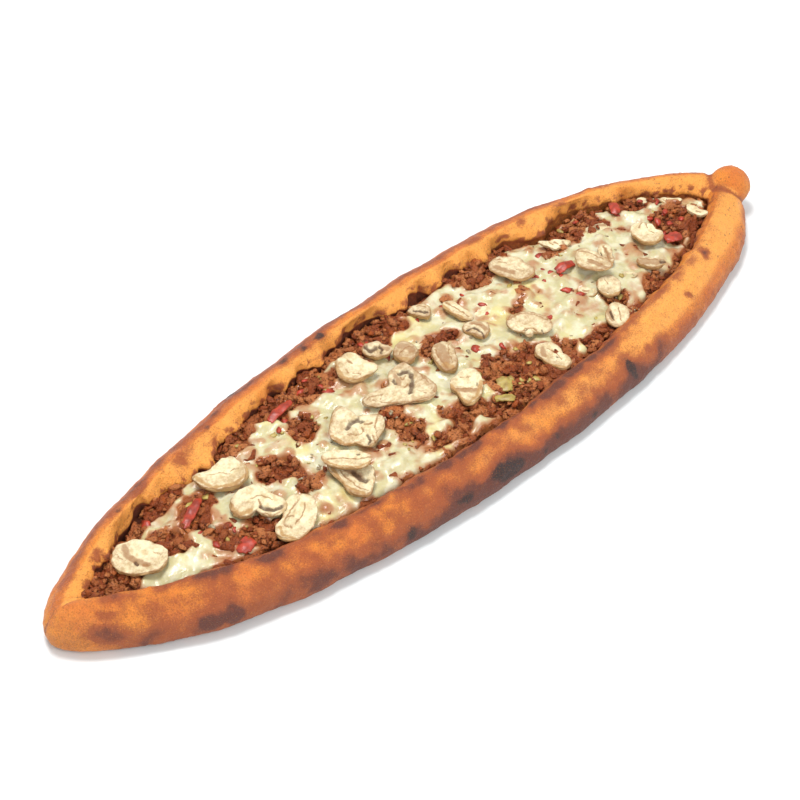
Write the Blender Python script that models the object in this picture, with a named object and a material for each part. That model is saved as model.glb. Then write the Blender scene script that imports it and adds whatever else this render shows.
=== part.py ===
"""Turkish pide: a long open flatbread, built as its real pieces.

One boat of dough carries the minced meat filling. A blanket of melted cheese lies on the filling, and
mushroom slices and pepper pieces lie on both. Metres, +Z up. +X runs along the loaf towards its knob, -Y
is the near side. The origin is the middle of the underside, and the loaf rests on its flat base.
"""

import math
from dataclasses import dataclass

import bmesh
import bpy
from mathutils import Matrix, Vector, noise

MM = 0.001

# Driving sizes.
GAP = 0.3 * MM  # left open between pieces that touch
BASE_THICKNESS = 7.0 * MM  # dough under the filling
CRUST_STEPS = 140  # points round the loaf
TIP_CROWDING = 0.3  # how much closer together they are at the tips
FILLING_STEPS = 140  # the filling and the cheese share one grid, so that they lie parallel
FILLING_ROWS = 10
END_TURN = 0.16  # where the filling stops short of the loaf's ends
FILLING_INSET = 1.14  # where the filling ends: 1 is the lip of the crust, 0 its crest
FILLING_CROWN = 3.6 * MM
FILLING_EDGE_HEIGHT = 14.6 * MM
FILLING_CROWN_FLATNESS = 0.6  # the lower, the flatter the top and the steeper the sides
FILLING_END_DROP = 3.0 * MM
FILLING_DROP_SPAN = (170 * MM, 240 * MM)  # distance from the middle over which it drops
FILLING_WAVE = 0.8 * MM
FILLING_WAVE_RATE = 26  # waves in a metre, about
LUMP_RISE = 1.2 * MM  # bare meat stands this much prouder, and its lumps as much again
LUMP_HEIGHT = 1.4 * MM
LUMP_RATE = 90
CHEESE_REST = 0.5 * MM  # open space between filling and cheese
CHEESE_THICKNESS = 2.2 * MM
CHEESE_THIN_EDGE = 0.9 * MM
CHEESE_WAVE = 0.9 * MM
CHEESE_WAVE_RATE = 70
CHEESE_EDGE_SHARE = 0.02  # where the outline of the cheese is eased to
CHEESE_EDGE_MOVE = 2.4 * MM  # the most that its outline is eased
SHARP_ANGLE = math.radians(50)
SLICE_POINTS = 16


@dataclass(frozen=True)
class Ring:
    """One closed curve of the loaf seen from above: pointed ovals with a shape of their own in each quarter.

    A quarter's breadth at a share x of its length is (1 - x**fullness)**bluntness of the full breadth.
    """

    left: float
    right: float
    near: float
    far: float
    near_left: tuple
    near_right: tuple
    far_left: tuple
    far_right: tuple
    left_tip_y: float = 3.0 * MM
    right_tip_y: float = -3.0 * MM

    def point(self, turn):
        """The point at an angle of turn round the ring: 0 is the knob, a quarter turn the far side."""
        share = math.cos(turn)
        far_side = math.sin(turn) >= 0
        if share >= 0:
            length, tip_y = self.right, self.right_tip_y
            fullness, bluntness = self.far_right if far_side else self.near_right
        else:
            length, tip_y = self.left, self.left_tip_y
            fullness, bluntness = self.far_left if far_side else self.near_left
        breadth = max(0.0, 1 - abs(share) ** fullness) ** bluntness
        reach = self.far * breadth if far_side else -self.near * breadth
        return Vector((share * length, tip_y * share * share + reach, 0))


CREST = Ring(
    left=255 * MM, right=252 * MM, near=60 * MM, far=64 * MM,
    near_left=(2.5, 0.90), near_right=(2.2, 0.75), far_left=(1.5, 0.60), far_right=(3.2, 0.70),
)
OUTER = Ring(
    left=267 * MM, right=262 * MM, near=79.5 * MM, far=78.5 * MM,
    near_left=(2.2, 0.64), near_right=(2.4, 0.57), far_left=(1.6, 0.54), far_right=(3.2, 0.63),
)
LIP = Ring(
    left=242 * MM, right=237 * MM, near=52 * MM, far=57 * MM,
    near_left=(2.5, 0.90), near_right=(2.2, 0.75), far_left=(1.5, 0.56), far_right=(3.3, 0.60),
)

# Section of the rolled rim, from the flat base outwards, over the crest and down to the floor inside.
# Each point is (reach, height): reach 1 is the outermost ring, 0 the crest, -1 the lip over the filling.
RIM_SECTION = (
    (0.42, 0.0 * MM),
    (0.78, 1.2 * MM),
    (0.97, 4.6 * MM),
    (1.00, 9.0 * MM),
    (0.93, 14.0 * MM),
    (0.74, 19.0 * MM),
    (0.42, 23.2 * MM),
    (0.06, 25.0 * MM),
    (-0.30, 24.4 * MM),
    (-0.68, 21.8 * MM),
    (-1.00, 17.6 * MM),
    (-0.80, 14.0 * MM),
    (-1.04, BASE_THICKNESS),
)
CREST_HEIGHT = 25.0 * MM
NEAR_LEFT_SWELL = 2.0 * MM  # the near rim is fattest where it ends on the left
SWELL_START = 110 * MM  # distance left of the middle where the swelling begins
SWELL_FULL = 200 * MM
SWELL_SIDE = (-8 * MM, 4 * MM)  # towards the near side, over which the swelling comes in

# Places where the far rim folds further in over the filling: (x, reach, half-width).
FLAPS = (
    (-200 * MM, 2.0 * MM, 14 * MM),
    (-146 * MM, 8.0 * MM, 14 * MM),
    (-43 * MM, 3.5 * MM, 11 * MM),
    (24 * MM, 4.5 * MM, 12 * MM),
    (134 * MM, 9.0 * MM, 13 * MM),
    (186 * MM, 3.5 * MM, 12 * MM),
)
FLAP_ROOT = 0.3  # where a flap begins, as a share of the way from crest to lip
FLAP_END_FADE = 2.2  # how fast the flaps fade in from the ends of the loaf

# The knob that closes the right end, and the seam where the near rim's end folds over the far rim's.
KNOB_CENTRE = Vector((258.5 * MM, -5 * MM, 18.5 * MM))
KNOB_RADIUS = 12.0 * MM
KNOB_ROOT = Vector((249 * MM, -4.5 * MM, 16 * MM))  # inside the rim and inside the knob
KNOB_BLEND = 8  # the higher, the sharper the neck
KNOB_SPAN = 45 * MM  # how far from its root the knob can swell the rim
FOLD_START = 205 * MM  # distance left of the middle
FOLD_FULL = 250 * MM
FOLD_DROP = 3.0 * MM
FOLD_SEAM = (4 * MM, 9 * MM)  # y over which the surface steps down

# Where no cheese lies and the meat shows: (x, y, half-length, half-width, turn in degrees), in millimetres.
BARE_PATCHES = (
    (-222, 14, 26, 22, 0),
    (-182, 34, 26, 10, 12),
    (-168, 12, 15, 6, 30),
    (-189, 4, 9, 6, -40),
    (-166, -12, 10, 6, -60),
    (-153, -23, 12, 9, 10),
    (-125, 39, 16, 10, 0),
    (-88, 44, 26, 8, 0),
    (-85, 16, 8, 6, 0),
    (-114, 4, 12, 8, -70),
    (-109, -13, 6, 5, 0),
    (-60, 42, 18, 8, 0),
    (-6, 48, 32, 10, 0),
    (-45, -17, 8, 14, 30),
    (-2, -38, 17, 8, -20),
    (36, -30, 26, 13, -15),
    (69, -37, 6, 8, 0),
    (78, 46, 26, 8, 0),
    (149, 32, 27, 9, 5),
    (196, 31, 18, 9, -15),
    (207, -7, 18, 17, 0),
    (163, -36, 26, 7, 8),
    (95, -46, 8, 7, 0),
)
PATCH_SOFTNESS = 6.0  # millimetres over which the cheese thins towards a patch

# Mushroom slices: (name, x, y, length, width, turn, tilt, kind, level), millimetres and degrees.
MUSHROOMS = (
    ("mushroom_01", -208, 3, 30, 22, -39, 0, "whole", 0),
    ("mushroom_02", -144, 17, 31, 19, -26, 14, "crescent", 0),
    ("mushroom_03", -142, -10, 30, 21, -45, -6, "crescent", 0),
    ("mushroom_04", -133, -31, 30, 21, 25, 0, "oval", 0),
    ("mushroom_05", -68, -6, 32, 29, -46, 4, "whole", 0),
    ("mushroom_06", -89, -23, 27, 13, -42, 6, "crescent", 1),
    ("mushroom_07", -92, -30, 28, 17, -89, 0, "crescent", 0),
    ("mushroom_08", -36, 30, 26, 18, -66, 8, "oval", 0),
    ("mushroom_09", -26, 0, 45, 31, -19, 0, "whole", 0),
    ("mushroom_10", 0, -24, 27, 20, 47, 8, "crescent", 0),
    ("mushroom_11", 8, 3, 27, 18, 75, 0, "oval", 0),
    ("mushroom_12", -6, 21, 16, 14, 33, 10, "oval", 0),
    ("mushroom_13", -16, 33, 17, 11, -46, 0, "crescent", 0),
    ("mushroom_14", 26, 41, 17, 10, -35, 0, "crescent", 0),
    ("mushroom_15", 40, 26, 20, 11, -86, 0, "crescent", 0),
    ("mushroom_16", 39, 7, 18, 14, -28, 0, "crescent", 0),
    ("mushroom_17", 62, -12, 29, 22, -54, 0, "whole", 0),
    ("mushroom_18", 56, -36, 25, 17, -85, 8, "oval", 0),
    ("mushroom_19", 92, 30, 31, 24, -66, 0, "oval", 0),
    ("mushroom_20", 130, 30, 18, 9, -43, 0, "crescent", 0),
    ("mushroom_21", 127, -2, 26, 18, -83, 6, "oval", 1),
    ("mushroom_22", 141, 0, 19, 12, -83, 0, "crescent", 0),
    ("mushroom_23", 122, -21, 21, 15, 47, 0, "oval", 0),
    ("mushroom_24", 176, -5, 24, 20, 30, 0, "oval", 0),
    ("mushroom_25", 157, -23, 17, 10, -67, 0, "crescent", 0),
    ("mushroom_26", 107, -40, 25, 11, 22, 0, "oval", 0),
    ("mushroom_27", 220, -8, 15, 8, -88, 0, "crescent", 0),
)
SLICE_THICKNESS = 4.0 * MM
SLICE_BEND = 1.0 * MM
SLICE_EDGE_SHARE = 0.88  # a slice's two faces are this much smaller than its waist

# Dips in a slice's outline: (angle in degrees, depth as a share, half-width in degrees).
SLICE_DIPS = {
    "whole": ((-128, 0.26, 17), (-52, 0.26, 17)),
    "crescent": ((-90, 0.42, 42),),
    "oval": ((-90, 0.06, 40),),
}

# Pepper pieces: (name, x, y, length, width, turn, colour), millimetres and degrees.
PEPPERS = (
    ("pepper_red_1", -87, 36, 20, 6, 10, "red_pepper"),
    ("pepper_red_2", -169, 11, 22, 6, 30, "red_pepper"),
    ("pepper_red_3", -162, -25, 11, 9, 12, "red_pepper"),
    ("pepper_red_4", 117, 10, 14, 7, -5, "red_pepper"),
    ("pepper_red_5", 188, -16, 12, 9, -26, "red_pepper"),
    ("pepper_red_6", 182, 27, 11, 7, 54, "red_pepper"),
    ("pepper_green_1", 12, -42, 12, 6, -43, "green_pepper"),
    ("pepper_green_2", 20, -34, 12, 9, 56, "green_pepper"),
)
PEPPER_THICKNESS = 2.0 * MM
PEPPER_ARCH = 1.6 * MM

# Finish of each slot: base colour and roughness.
FINISHES = {
    "baked_dough": ((0.72, 0.30, 0.10), 0.60),
    "minced_meat": ((0.28, 0.085, 0.035), 0.55),
    "melted_cheese": ((0.85, 0.77, 0.47), 0.28),
    "mushroom_flesh": ((0.86, 0.74, 0.50), 0.50),
    "red_pepper": ((0.40, 0.035, 0.015), 0.30),
    "green_pepper": ((0.38, 0.28, 0.05), 0.30),
}


def smooth_step(low, high, value):
    """0 below low, 1 above high, and a smooth rise between them."""
    share = min(1.0, max(0.0, (value - low) / (high - low)))
    return share * share * (3 - 2 * share)


def bell(value, centre, half_width):
    """A smooth hump of height 1 at the centre."""
    return math.exp(-(((value - centre) / half_width) ** 2))


def flap_reach(x):
    """How far the far rim folds in over the filling at this x."""
    return sum(reach * bell(x, centre, half_width) for centre, reach, half_width in FLAPS)


def rim_point(turn, reach, height):
    """A point of the crust: where it lies round the loaf, its reach across the rim, and its height."""
    crest = CREST.point(turn)
    if reach >= 0:
        point = crest.lerp(OUTER.point(turn), reach)
    else:
        point = crest.lerp(LIP.point(turn), -reach)
        if math.sin(turn) > 0:
            end_fade = min(1.0, FLAP_END_FADE * math.sin(turn) ** 2)
            point.y -= flap_reach(point.x) * end_fade * smooth_step(FLAP_ROOT, 1.0, -reach)
    near_end = smooth_step(SWELL_START, SWELL_FULL, -point.x) * smooth_step(*SWELL_SIDE, -point.y)
    point.z = height + NEAR_LEFT_SWELL * near_end * rim_share(height)
    return point


def rim_share(height):
    """How much of the rim's height lies below this height: 0 at the floor inside, 1 at the crest."""
    return smooth_step(BASE_THICKNESS, CREST_HEIGHT, height)


def fold_left_end(point):
    """Lowers the far rim's end, which the near rim's end folds over."""
    end_share = smooth_step(FOLD_START, FOLD_FULL, -point.x)
    point.z -= FOLD_DROP * end_share * smooth_step(*FOLD_SEAM, point.y) * rim_share(point.z)


def swell_knob(point):
    """Pushes the points round the right tip out to the round knob, seen from the knob's root in the dough."""
    offset = point - KNOB_ROOT
    reach = offset.length
    if point.z > 0 and 0 < reach < KNOB_SPAN:
        to_centre = KNOB_CENTRE - KNOB_ROOT
        along = offset.dot(to_centre) / reach
        beside_squared = to_centre.length_squared - along * along
        to_knob = along + math.sqrt(KNOB_RADIUS**2 - beside_squared)
        pushed = (reach**KNOB_BLEND + to_knob**KNOB_BLEND) ** (1 / KNOB_BLEND)
        point.xyz = KNOB_ROOT + offset * pushed / reach


def filling_line(turn):
    """The two ends of the line across the filling at this turn: the near point and the far point."""
    return [rim_point(side, -FILLING_INSET, 0.0) for side in (-turn, turn)]


def filling_point(turn, across):
    """A point on the plan of the filling: across runs from 0 at the near edge to 1 at the far edge."""
    near, far = filling_line(turn)
    return near.lerp(far, across)


def cheese_share(x, y):
    """How much cheese lies at a point: below 0 is a bare patch, 1 is the full blanket."""
    share = 1.0
    for patch_x, patch_y, half_length, half_width, turn in BARE_PATCHES:
        offset = Vector((x / MM - patch_x, y / MM - patch_y))
        offset.rotate(Matrix.Rotation(-math.radians(turn), 2))
        distance = math.hypot(offset.x / half_length, offset.y / half_width) - 1
        share = min(share, distance * min(half_length, half_width) / PATCH_SOFTNESS)
    return share


def wave(point, rate, layer):
    """Smooth noise between -1 and 1 over the plan; each layer has waves of its own."""
    return noise.noise(Vector((point.x * rate, point.y * rate, layer)))


def filling_height(point, across):
    """Height of the top of the filling, without its lumps."""
    crown = max(0.0, 1 - (2 * across - 1) ** 2) ** FILLING_CROWN_FLATNESS
    drop = FILLING_END_DROP * smooth_step(*FILLING_DROP_SPAN, abs(point.x))
    rise = FILLING_WAVE * wave(point, FILLING_WAVE_RATE, 0)
    return FILLING_EDGE_HEIGHT + FILLING_CROWN * crown - drop + rise


def filling_lump(point):
    """Height of the meat's lumps, which stand up only where no cheese lies."""
    bare = smooth_step(0.6, 1.4, -cheese_share(point.x, point.y))
    return bare * (LUMP_RISE + LUMP_HEIGHT * wave(point, LUMP_RATE, 1))


def cheese_top(point, across):
    """Height of the top of the cheese blanket."""
    share = cheese_share(point.x, point.y)
    full = CHEESE_THICKNESS + CHEESE_WAVE * wave(point, CHEESE_WAVE_RATE, 2)
    depth = CHEESE_THIN_EDGE + (full - CHEESE_THIN_EDGE) * smooth_step(0.0, 1.0, share)
    return filling_height(point, across) + CHEESE_REST + max(CHEESE_THIN_EDGE, depth)


def ring_turns(steps):
    """Angles of evenly spaced points round a ring."""
    return [2 * math.pi * step / steps for step in range(steps)]


def loaf_turns():
    """Angles of the points round the loaf, closer together at its two ends."""
    return [turn - TIP_CROWDING * math.sin(2 * turn) / 2 for turn in ring_turns(CRUST_STEPS)]


def skin_rings(rings):
    """A closed bmesh through rings of points, each with as many points as the others, capped at both ends."""
    mesh = bmesh.new()
    loops = [[mesh.verts.new(point) for point in ring] for ring in rings]
    for lower, upper in zip(loops, loops[1:]):
        for (first, second), (fourth, third) in zip(closed_pairs(lower), closed_pairs(upper)):
            mesh.faces.new((first, second, third, fourth))
    mesh.faces.new(reversed(loops[0]))
    mesh.faces.new(loops[-1])
    return mesh


def closed_pairs(loop):
    """Each item of a closed loop with the one after it."""
    return list(zip(loop, loop[1:] + loop[:1]))


def finish_mesh(name, mesh, slot):
    """Turns a bmesh into a named object with outward faces, smooth shading and its own finish."""
    bmesh.ops.triangulate(mesh, faces=[face for face in mesh.faces if len(face.verts) > 4])
    bmesh.ops.recalc_face_normals(mesh, faces=mesh.faces)
    data = bpy.data.meshes.new(name)
    mesh.to_mesh(data)
    mesh.free()
    data.shade_smooth()
    data.set_sharp_from_angle(angle=SHARP_ANGLE)
    data.materials.append(finish(slot))
    thing = bpy.data.objects.new(name, data)
    bpy.context.collection.objects.link(thing)
    return thing


def finish(slot):
    """The Principled material of a slot, made once."""
    material = bpy.data.materials.get(slot)
    if material:
        return material
    colour, roughness = FINISHES[slot]
    material = bpy.data.materials.new(slot)
    material.use_nodes = True
    shader = material.node_tree.nodes["Principled BSDF"]
    shader.inputs["Base Color"].default_value = (*colour, 1)
    shader.inputs["Roughness"].default_value = roughness
    shader.inputs["Metallic"].default_value = 0
    return material


def make_crust():
    """The boat of dough: flat base, rolled rim, inner floor, folded left end and knob."""
    rings = []
    for reach, height in RIM_SECTION:
        ring = [rim_point(turn, reach, height) for turn in loaf_turns()]
        for point in ring:
            fold_left_end(point)
            swell_knob(point)
        rings.append(ring)
    return finish_mesh("crust", skin_rings(rings), "baked_dough")


def grid_of_filling():
    """A flat bmesh grid over the filling, and the share across of each of its vertices."""
    turns = [turn for turn in ring_turns(FILLING_STEPS) if END_TURN < turn < math.pi - END_TURN]
    mesh = bmesh.new()
    shares = {}
    lines = []
    for turn in turns:
        line = []
        for row in range(FILLING_ROWS + 1):
            across = row / FILLING_ROWS
            vertex = mesh.verts.new(filling_point(turn, across))
            shares[vertex] = across
            line.append(vertex)
        lines.append(line)
    for first, second in zip(lines, lines[1:]):
        for row in range(FILLING_ROWS):
            mesh.faces.new((first[row], first[row + 1], second[row + 1], second[row]))
    return mesh, shares


def extrude_up(mesh):
    """Gives a sheet a second layer above it and closed sides; returns the upper vertex of each lower one."""
    lower = list(mesh.verts)
    order = {tuple(vertex.co): vertex for vertex in lower}
    result = bmesh.ops.extrude_face_region(mesh, geom=list(mesh.faces))
    upper = [item for item in result["geom"] if isinstance(item, bmesh.types.BMVert)]
    return {order[tuple(vertex.co)]: vertex for vertex in upper}


def make_filling():
    """The heap of minced meat, solid down to the dough."""
    mesh, shares = grid_of_filling()
    layers = extrude_up(mesh)
    for lower, upper in layers.items():
        upper.co.z = filling_height(upper.co, shares[lower]) + filling_lump(upper.co)
        lower.co.z = BASE_THICKNESS + GAP
    underside = [face for face in mesh.faces if all(vertex in layers for vertex in face.verts)]
    bmesh.ops.dissolve_faces(mesh, faces=underside, use_verts=True)
    return finish_mesh("meat_filling", mesh, "minced_meat")


def make_cheese():
    """The melted blanket: the filling's grid without its bare patches, with its edges eased onto them."""
    mesh, shares = grid_of_filling()
    bare = [face for face in mesh.faces if cheese_share(*face.calc_center_median().xy) < 0.05]
    bare += [face for face in mesh.faces if any(shares[v] < 0.01 or shares[v] > 0.99 for v in face.verts)]
    bmesh.ops.delete(mesh, geom=list(set(bare)), context="FACES")
    part_touching_corners(mesh)
    keep_largest_sheet(mesh)
    shares = {vertex: share for vertex, share in shares.items() if vertex.is_valid}
    for vertex in [vertex for vertex in mesh.verts if vertex.is_boundary]:
        ease_onto_edge(vertex)
    for lower, upper in extrude_up(mesh).items():
        upper.co.z = cheese_top(upper.co, shares[lower])
        lower.co.z = filling_height(lower.co, shares[lower]) + CHEESE_REST
    return finish_mesh("melted_cheese", mesh, "melted_cheese")


def ease_onto_edge(vertex):
    """Moves a vertex on the outline of the cheese a little towards the true edge of a bare patch."""
    step = 0.5 * MM
    x, y = vertex.co.xy
    here = cheese_share(x, y)
    slope = Vector((cheese_share(x + step, y) - here, cheese_share(x, y + step) - here)) / step
    if slope.length == 0 or here >= 1 - CHEESE_EDGE_SHARE:
        return
    move = slope.normalized() * (CHEESE_EDGE_SHARE - here) / slope.length
    vertex.co.xy += move * min(1.0, CHEESE_EDGE_MOVE / max(move.length, CHEESE_EDGE_MOVE))


def part_touching_corners(mesh):
    """Removes faces that meet their neighbours only at a corner, which would pinch the solid there."""
    pinched = True
    while pinched:
        pinched = [v for v in mesh.verts if sum(edge.is_boundary for edge in v.link_edges) > 2]
        faces = {face for vertex in pinched for face in vertex.link_faces}
        bmesh.ops.delete(mesh, geom=list(faces), context="FACES")


def keep_largest_sheet(mesh):
    """Removes all but the largest connected sheet."""
    left = set(mesh.faces)
    sheets = []
    while left:
        sheet, edge_of_sheet = set(), [left.pop()]
        while edge_of_sheet:
            face = edge_of_sheet.pop()
            sheet.add(face)
            for edge in face.edges:
                for other in edge.link_faces:
                    if other in left:
                        left.discard(other)
                        edge_of_sheet.append(other)
        sheets.append(sheet)
    sheets.sort(key=len)
    for sheet in sheets[:-1]:
        bmesh.ops.delete(mesh, geom=list(sheet), context="FACES")


def across_at(point):
    """Share across the filling of a point, found from the line across it at the same x."""
    tip = rim_point(0.0 if point.x >= 0 else math.pi, -FILLING_INSET, 0.0)
    near, far = filling_line(math.acos(max(-1.0, min(1.0, point.x / abs(tip.x)))))
    return min(1.0, max(0.0, (point.y - near.y) / max(1 * MM, far.y - near.y)))


def support_height(point):
    """Height of whatever carries a topping at a point: the cheese, or the meat where it is bare."""
    across = across_at(point)
    meat = filling_height(point, across) + filling_lump(point)
    if cheese_share(point.x, point.y) < -0.5:
        return meat
    return max(meat, cheese_top(point, across))


def rest_on_filling(mesh, place, turn, tilt, level):
    """Turns a topping, tilts it, and lowers it until it all but touches what is under it."""
    mesh.transform(Matrix.Rotation(math.radians(turn), 4, "Z") @ Matrix.Rotation(math.radians(tilt), 4, "X"))
    mesh.transform(Matrix.Translation(place))
    lift = max(support_height(vertex.co) - vertex.co.z for vertex in mesh.verts)
    lift += 2 * GAP + level * (SLICE_THICKNESS + 2 * GAP)
    mesh.transform(Matrix.Translation((0, 0, lift)))


def slice_radius(angle, kind):
    """Share of the full oval that a slice's outline keeps at an angle."""
    share = 1.0
    for dip_angle, depth, half_width in SLICE_DIPS[kind]:
        apart = (math.degrees(angle) - dip_angle + 180) % 360 - 180
        share -= depth * bell(apart, 0, half_width)
    return share


def make_mushroom(name, x, y, length, width, turn, tilt, kind, level):
    """One slice: an oval outline with its dips, widest at mid thickness, bent a little along its length."""
    rings = []
    for growth, height in ((SLICE_EDGE_SHARE, 0.0), (1.0, 0.5), (SLICE_EDGE_SHARE, 1.0)):
        ring = []
        for angle in ring_turns(SLICE_POINTS):
            share = growth * slice_radius(angle, kind)
            along, sideways = share * math.cos(angle), share * math.sin(angle)
            lift = height * SLICE_THICKNESS + SLICE_BEND * along * along
            ring.append((along * length * MM / 2, sideways * width * MM / 2, lift))
        rings.append(ring)
    mesh = skin_rings(rings)
    rest_on_filling(mesh, Vector((x, y, 0)) * MM, turn, tilt, level)
    return finish_mesh(name, mesh, "mushroom_flesh")


def make_pepper(name, x, y, length, width, turn, slot):
    """One cut piece of pepper: a short arched strip."""
    mesh = bmesh.new()
    bmesh.ops.create_grid(mesh, x_segments=3, y_segments=1, size=0.5)
    bmesh.ops.scale(mesh, vec=(length * MM, width * MM, 1), verts=mesh.verts)
    for lower, upper in extrude_up(mesh).items():
        arch = PEPPER_ARCH * (1 - (2 * lower.co.x / (length * MM)) ** 2)
        lower.co.z += arch
        upper.co.z = lower.co.z + PEPPER_THICKNESS
    rest_on_filling(mesh, Vector((x, y, 0)) * MM, turn, 0, 0)
    return finish_mesh(name, mesh, slot)


def main():
    """Clears the scene and builds every piece of the pide."""
    for thing in list(bpy.data.objects):
        bpy.data.objects.remove(thing)
    make_crust()
    make_filling()
    make_cheese()
    for row in MUSHROOMS:
        make_mushroom(*row)
    for row in PEPPERS:
        make_pepper(*row)


main()
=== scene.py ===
"""Turkish pide, dressed: baked crust, minced meat, melted cheese, mushrooms and peppers over the solids."""

import logging
import math
from collections.abc import Callable
from dataclasses import dataclass
from enum import Enum

import bmesh
import bpy
import numpy as np
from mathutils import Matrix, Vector, noise


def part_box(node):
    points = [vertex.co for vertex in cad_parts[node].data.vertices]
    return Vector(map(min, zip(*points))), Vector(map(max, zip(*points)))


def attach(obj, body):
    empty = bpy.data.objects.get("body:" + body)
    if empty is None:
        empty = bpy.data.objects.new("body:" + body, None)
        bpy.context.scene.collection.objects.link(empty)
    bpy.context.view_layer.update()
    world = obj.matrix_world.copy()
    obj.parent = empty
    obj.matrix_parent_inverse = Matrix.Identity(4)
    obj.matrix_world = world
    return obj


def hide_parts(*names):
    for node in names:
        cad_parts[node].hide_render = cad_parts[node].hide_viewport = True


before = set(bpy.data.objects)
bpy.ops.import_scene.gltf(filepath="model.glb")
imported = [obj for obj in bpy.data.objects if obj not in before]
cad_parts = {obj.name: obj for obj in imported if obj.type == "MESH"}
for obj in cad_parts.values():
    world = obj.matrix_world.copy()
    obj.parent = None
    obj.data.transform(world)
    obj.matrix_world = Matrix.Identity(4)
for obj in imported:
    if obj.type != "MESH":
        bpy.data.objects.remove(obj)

log = logging.getLogger("pide")

MM = 0.001
Array = np.ndarray
Colour = tuple[float, float, float]
Mesh = bpy.types.Mesh
Piece = bpy.types.Object
Socket = bpy.types.NodeSocket


# ---------------------------------------------------------------- shapes worked out over many points at once


def ease(low: float, high: float, value: Array) -> Array:
    """0 below low, 1 above high, and a smooth rise between them."""
    share = np.clip((np.asarray(value, float) - low) / (high - low), 0.0, 1.0)
    return share * share * (3 - 2 * share)


def hump(value: Array, centre: float, half_width: float) -> Array:
    """A smooth hump of height 1 at the centre."""
    return np.exp(-(((value - centre) / half_width) ** 2))


def waves(points: Array, size: float, seed: float = 0.0) -> Array:
    """Smooth noise between about -1 and 1.

    Args:
        points: one row of x, y, z for each point.
        size: width of a wave, in the unit of the points.
        seed: moves to another part of the noise.

    Returns:
        One value for each point.
    """
    scaled = (points / size + seed * 17.31).tolist()
    return np.fromiter((noise.noise(place) for place in scaled), float, len(scaled))


def rough(points: Array, size: float, octaves: int, seed: float = 0.0) -> Array:
    """Noise with finer and finer waves on top, each half as large and as high as the one before."""
    total = np.zeros(len(points))
    for octave in range(octaves):
        total += waves(points, size / 2**octave, seed + octave) / 2**octave
    return total


def blur(field: Array, reach: float) -> Array:
    """The field softened over about reach cells."""
    span = max(1, math.ceil(2.5 * reach))
    weights = np.exp(-((np.arange(-span, span + 1) / reach) ** 2) / 2)
    weights /= weights.sum()
    padded = np.pad(field, span, mode="edge")
    along = np.apply_along_axis(np.convolve, 0, padded, weights, mode="same")
    both = np.apply_along_axis(np.convolve, 1, along, weights, mode="same")
    return both[span:-span, span:-span]


def turned(x: Array, y: Array, angle: float | Array) -> tuple[Array, Array]:
    """The places x, y turned about the origin by the angle."""
    return x * np.cos(angle) - y * np.sin(angle), x * np.sin(angle) + y * np.cos(angle)


@dataclass(frozen=True)
class Oval:
    """A closed curve of the loaf seen from above, with a shape of its own in each quarter.

    A quarter's breadth at a share x of its length is (1 - x**fullness)**bluntness of the full breadth.
    """

    left: float
    right: float
    near: float
    far: float
    near_left: tuple[float, float]
    near_right: tuple[float, float]
    far_left: tuple[float, float]
    far_right: tuple[float, float]
    left_tip_y: float = 3.0 * MM
    right_tip_y: float = -3.0 * MM

    def spine(self, turn: Array) -> tuple[Array, Array]:
        """The middle line of the loaf at each angle, as x and y."""
        share = np.cos(turn)
        right = share >= 0
        tip = np.where(right, self.right_tip_y, self.left_tip_y)
        return share * np.where(right, self.right, self.left), tip * share * share

    def spread(self, turn: Array) -> tuple[Array, Array]:
        """The points of the curve at each angle, as x and y: 0 is the knob, a quarter turn the far side."""
        share = np.cos(turn)
        right, far = share >= 0, np.sin(turn) >= 0
        quarter = [right & far, right & ~far, ~right & far, ~right & ~far]
        shapes = (self.far_right, self.near_right, self.far_left, self.near_left)
        fullness = np.select(quarter, [shape[0] for shape in shapes])
        bluntness = np.select(quarter, [shape[1] for shape in shapes])
        breadth = np.clip(1 - np.abs(share) ** fullness, 0, None) ** bluntness
        x, middle = self.spine(turn)
        return x, middle + np.where(far, self.far, -self.near) * breadth


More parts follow.
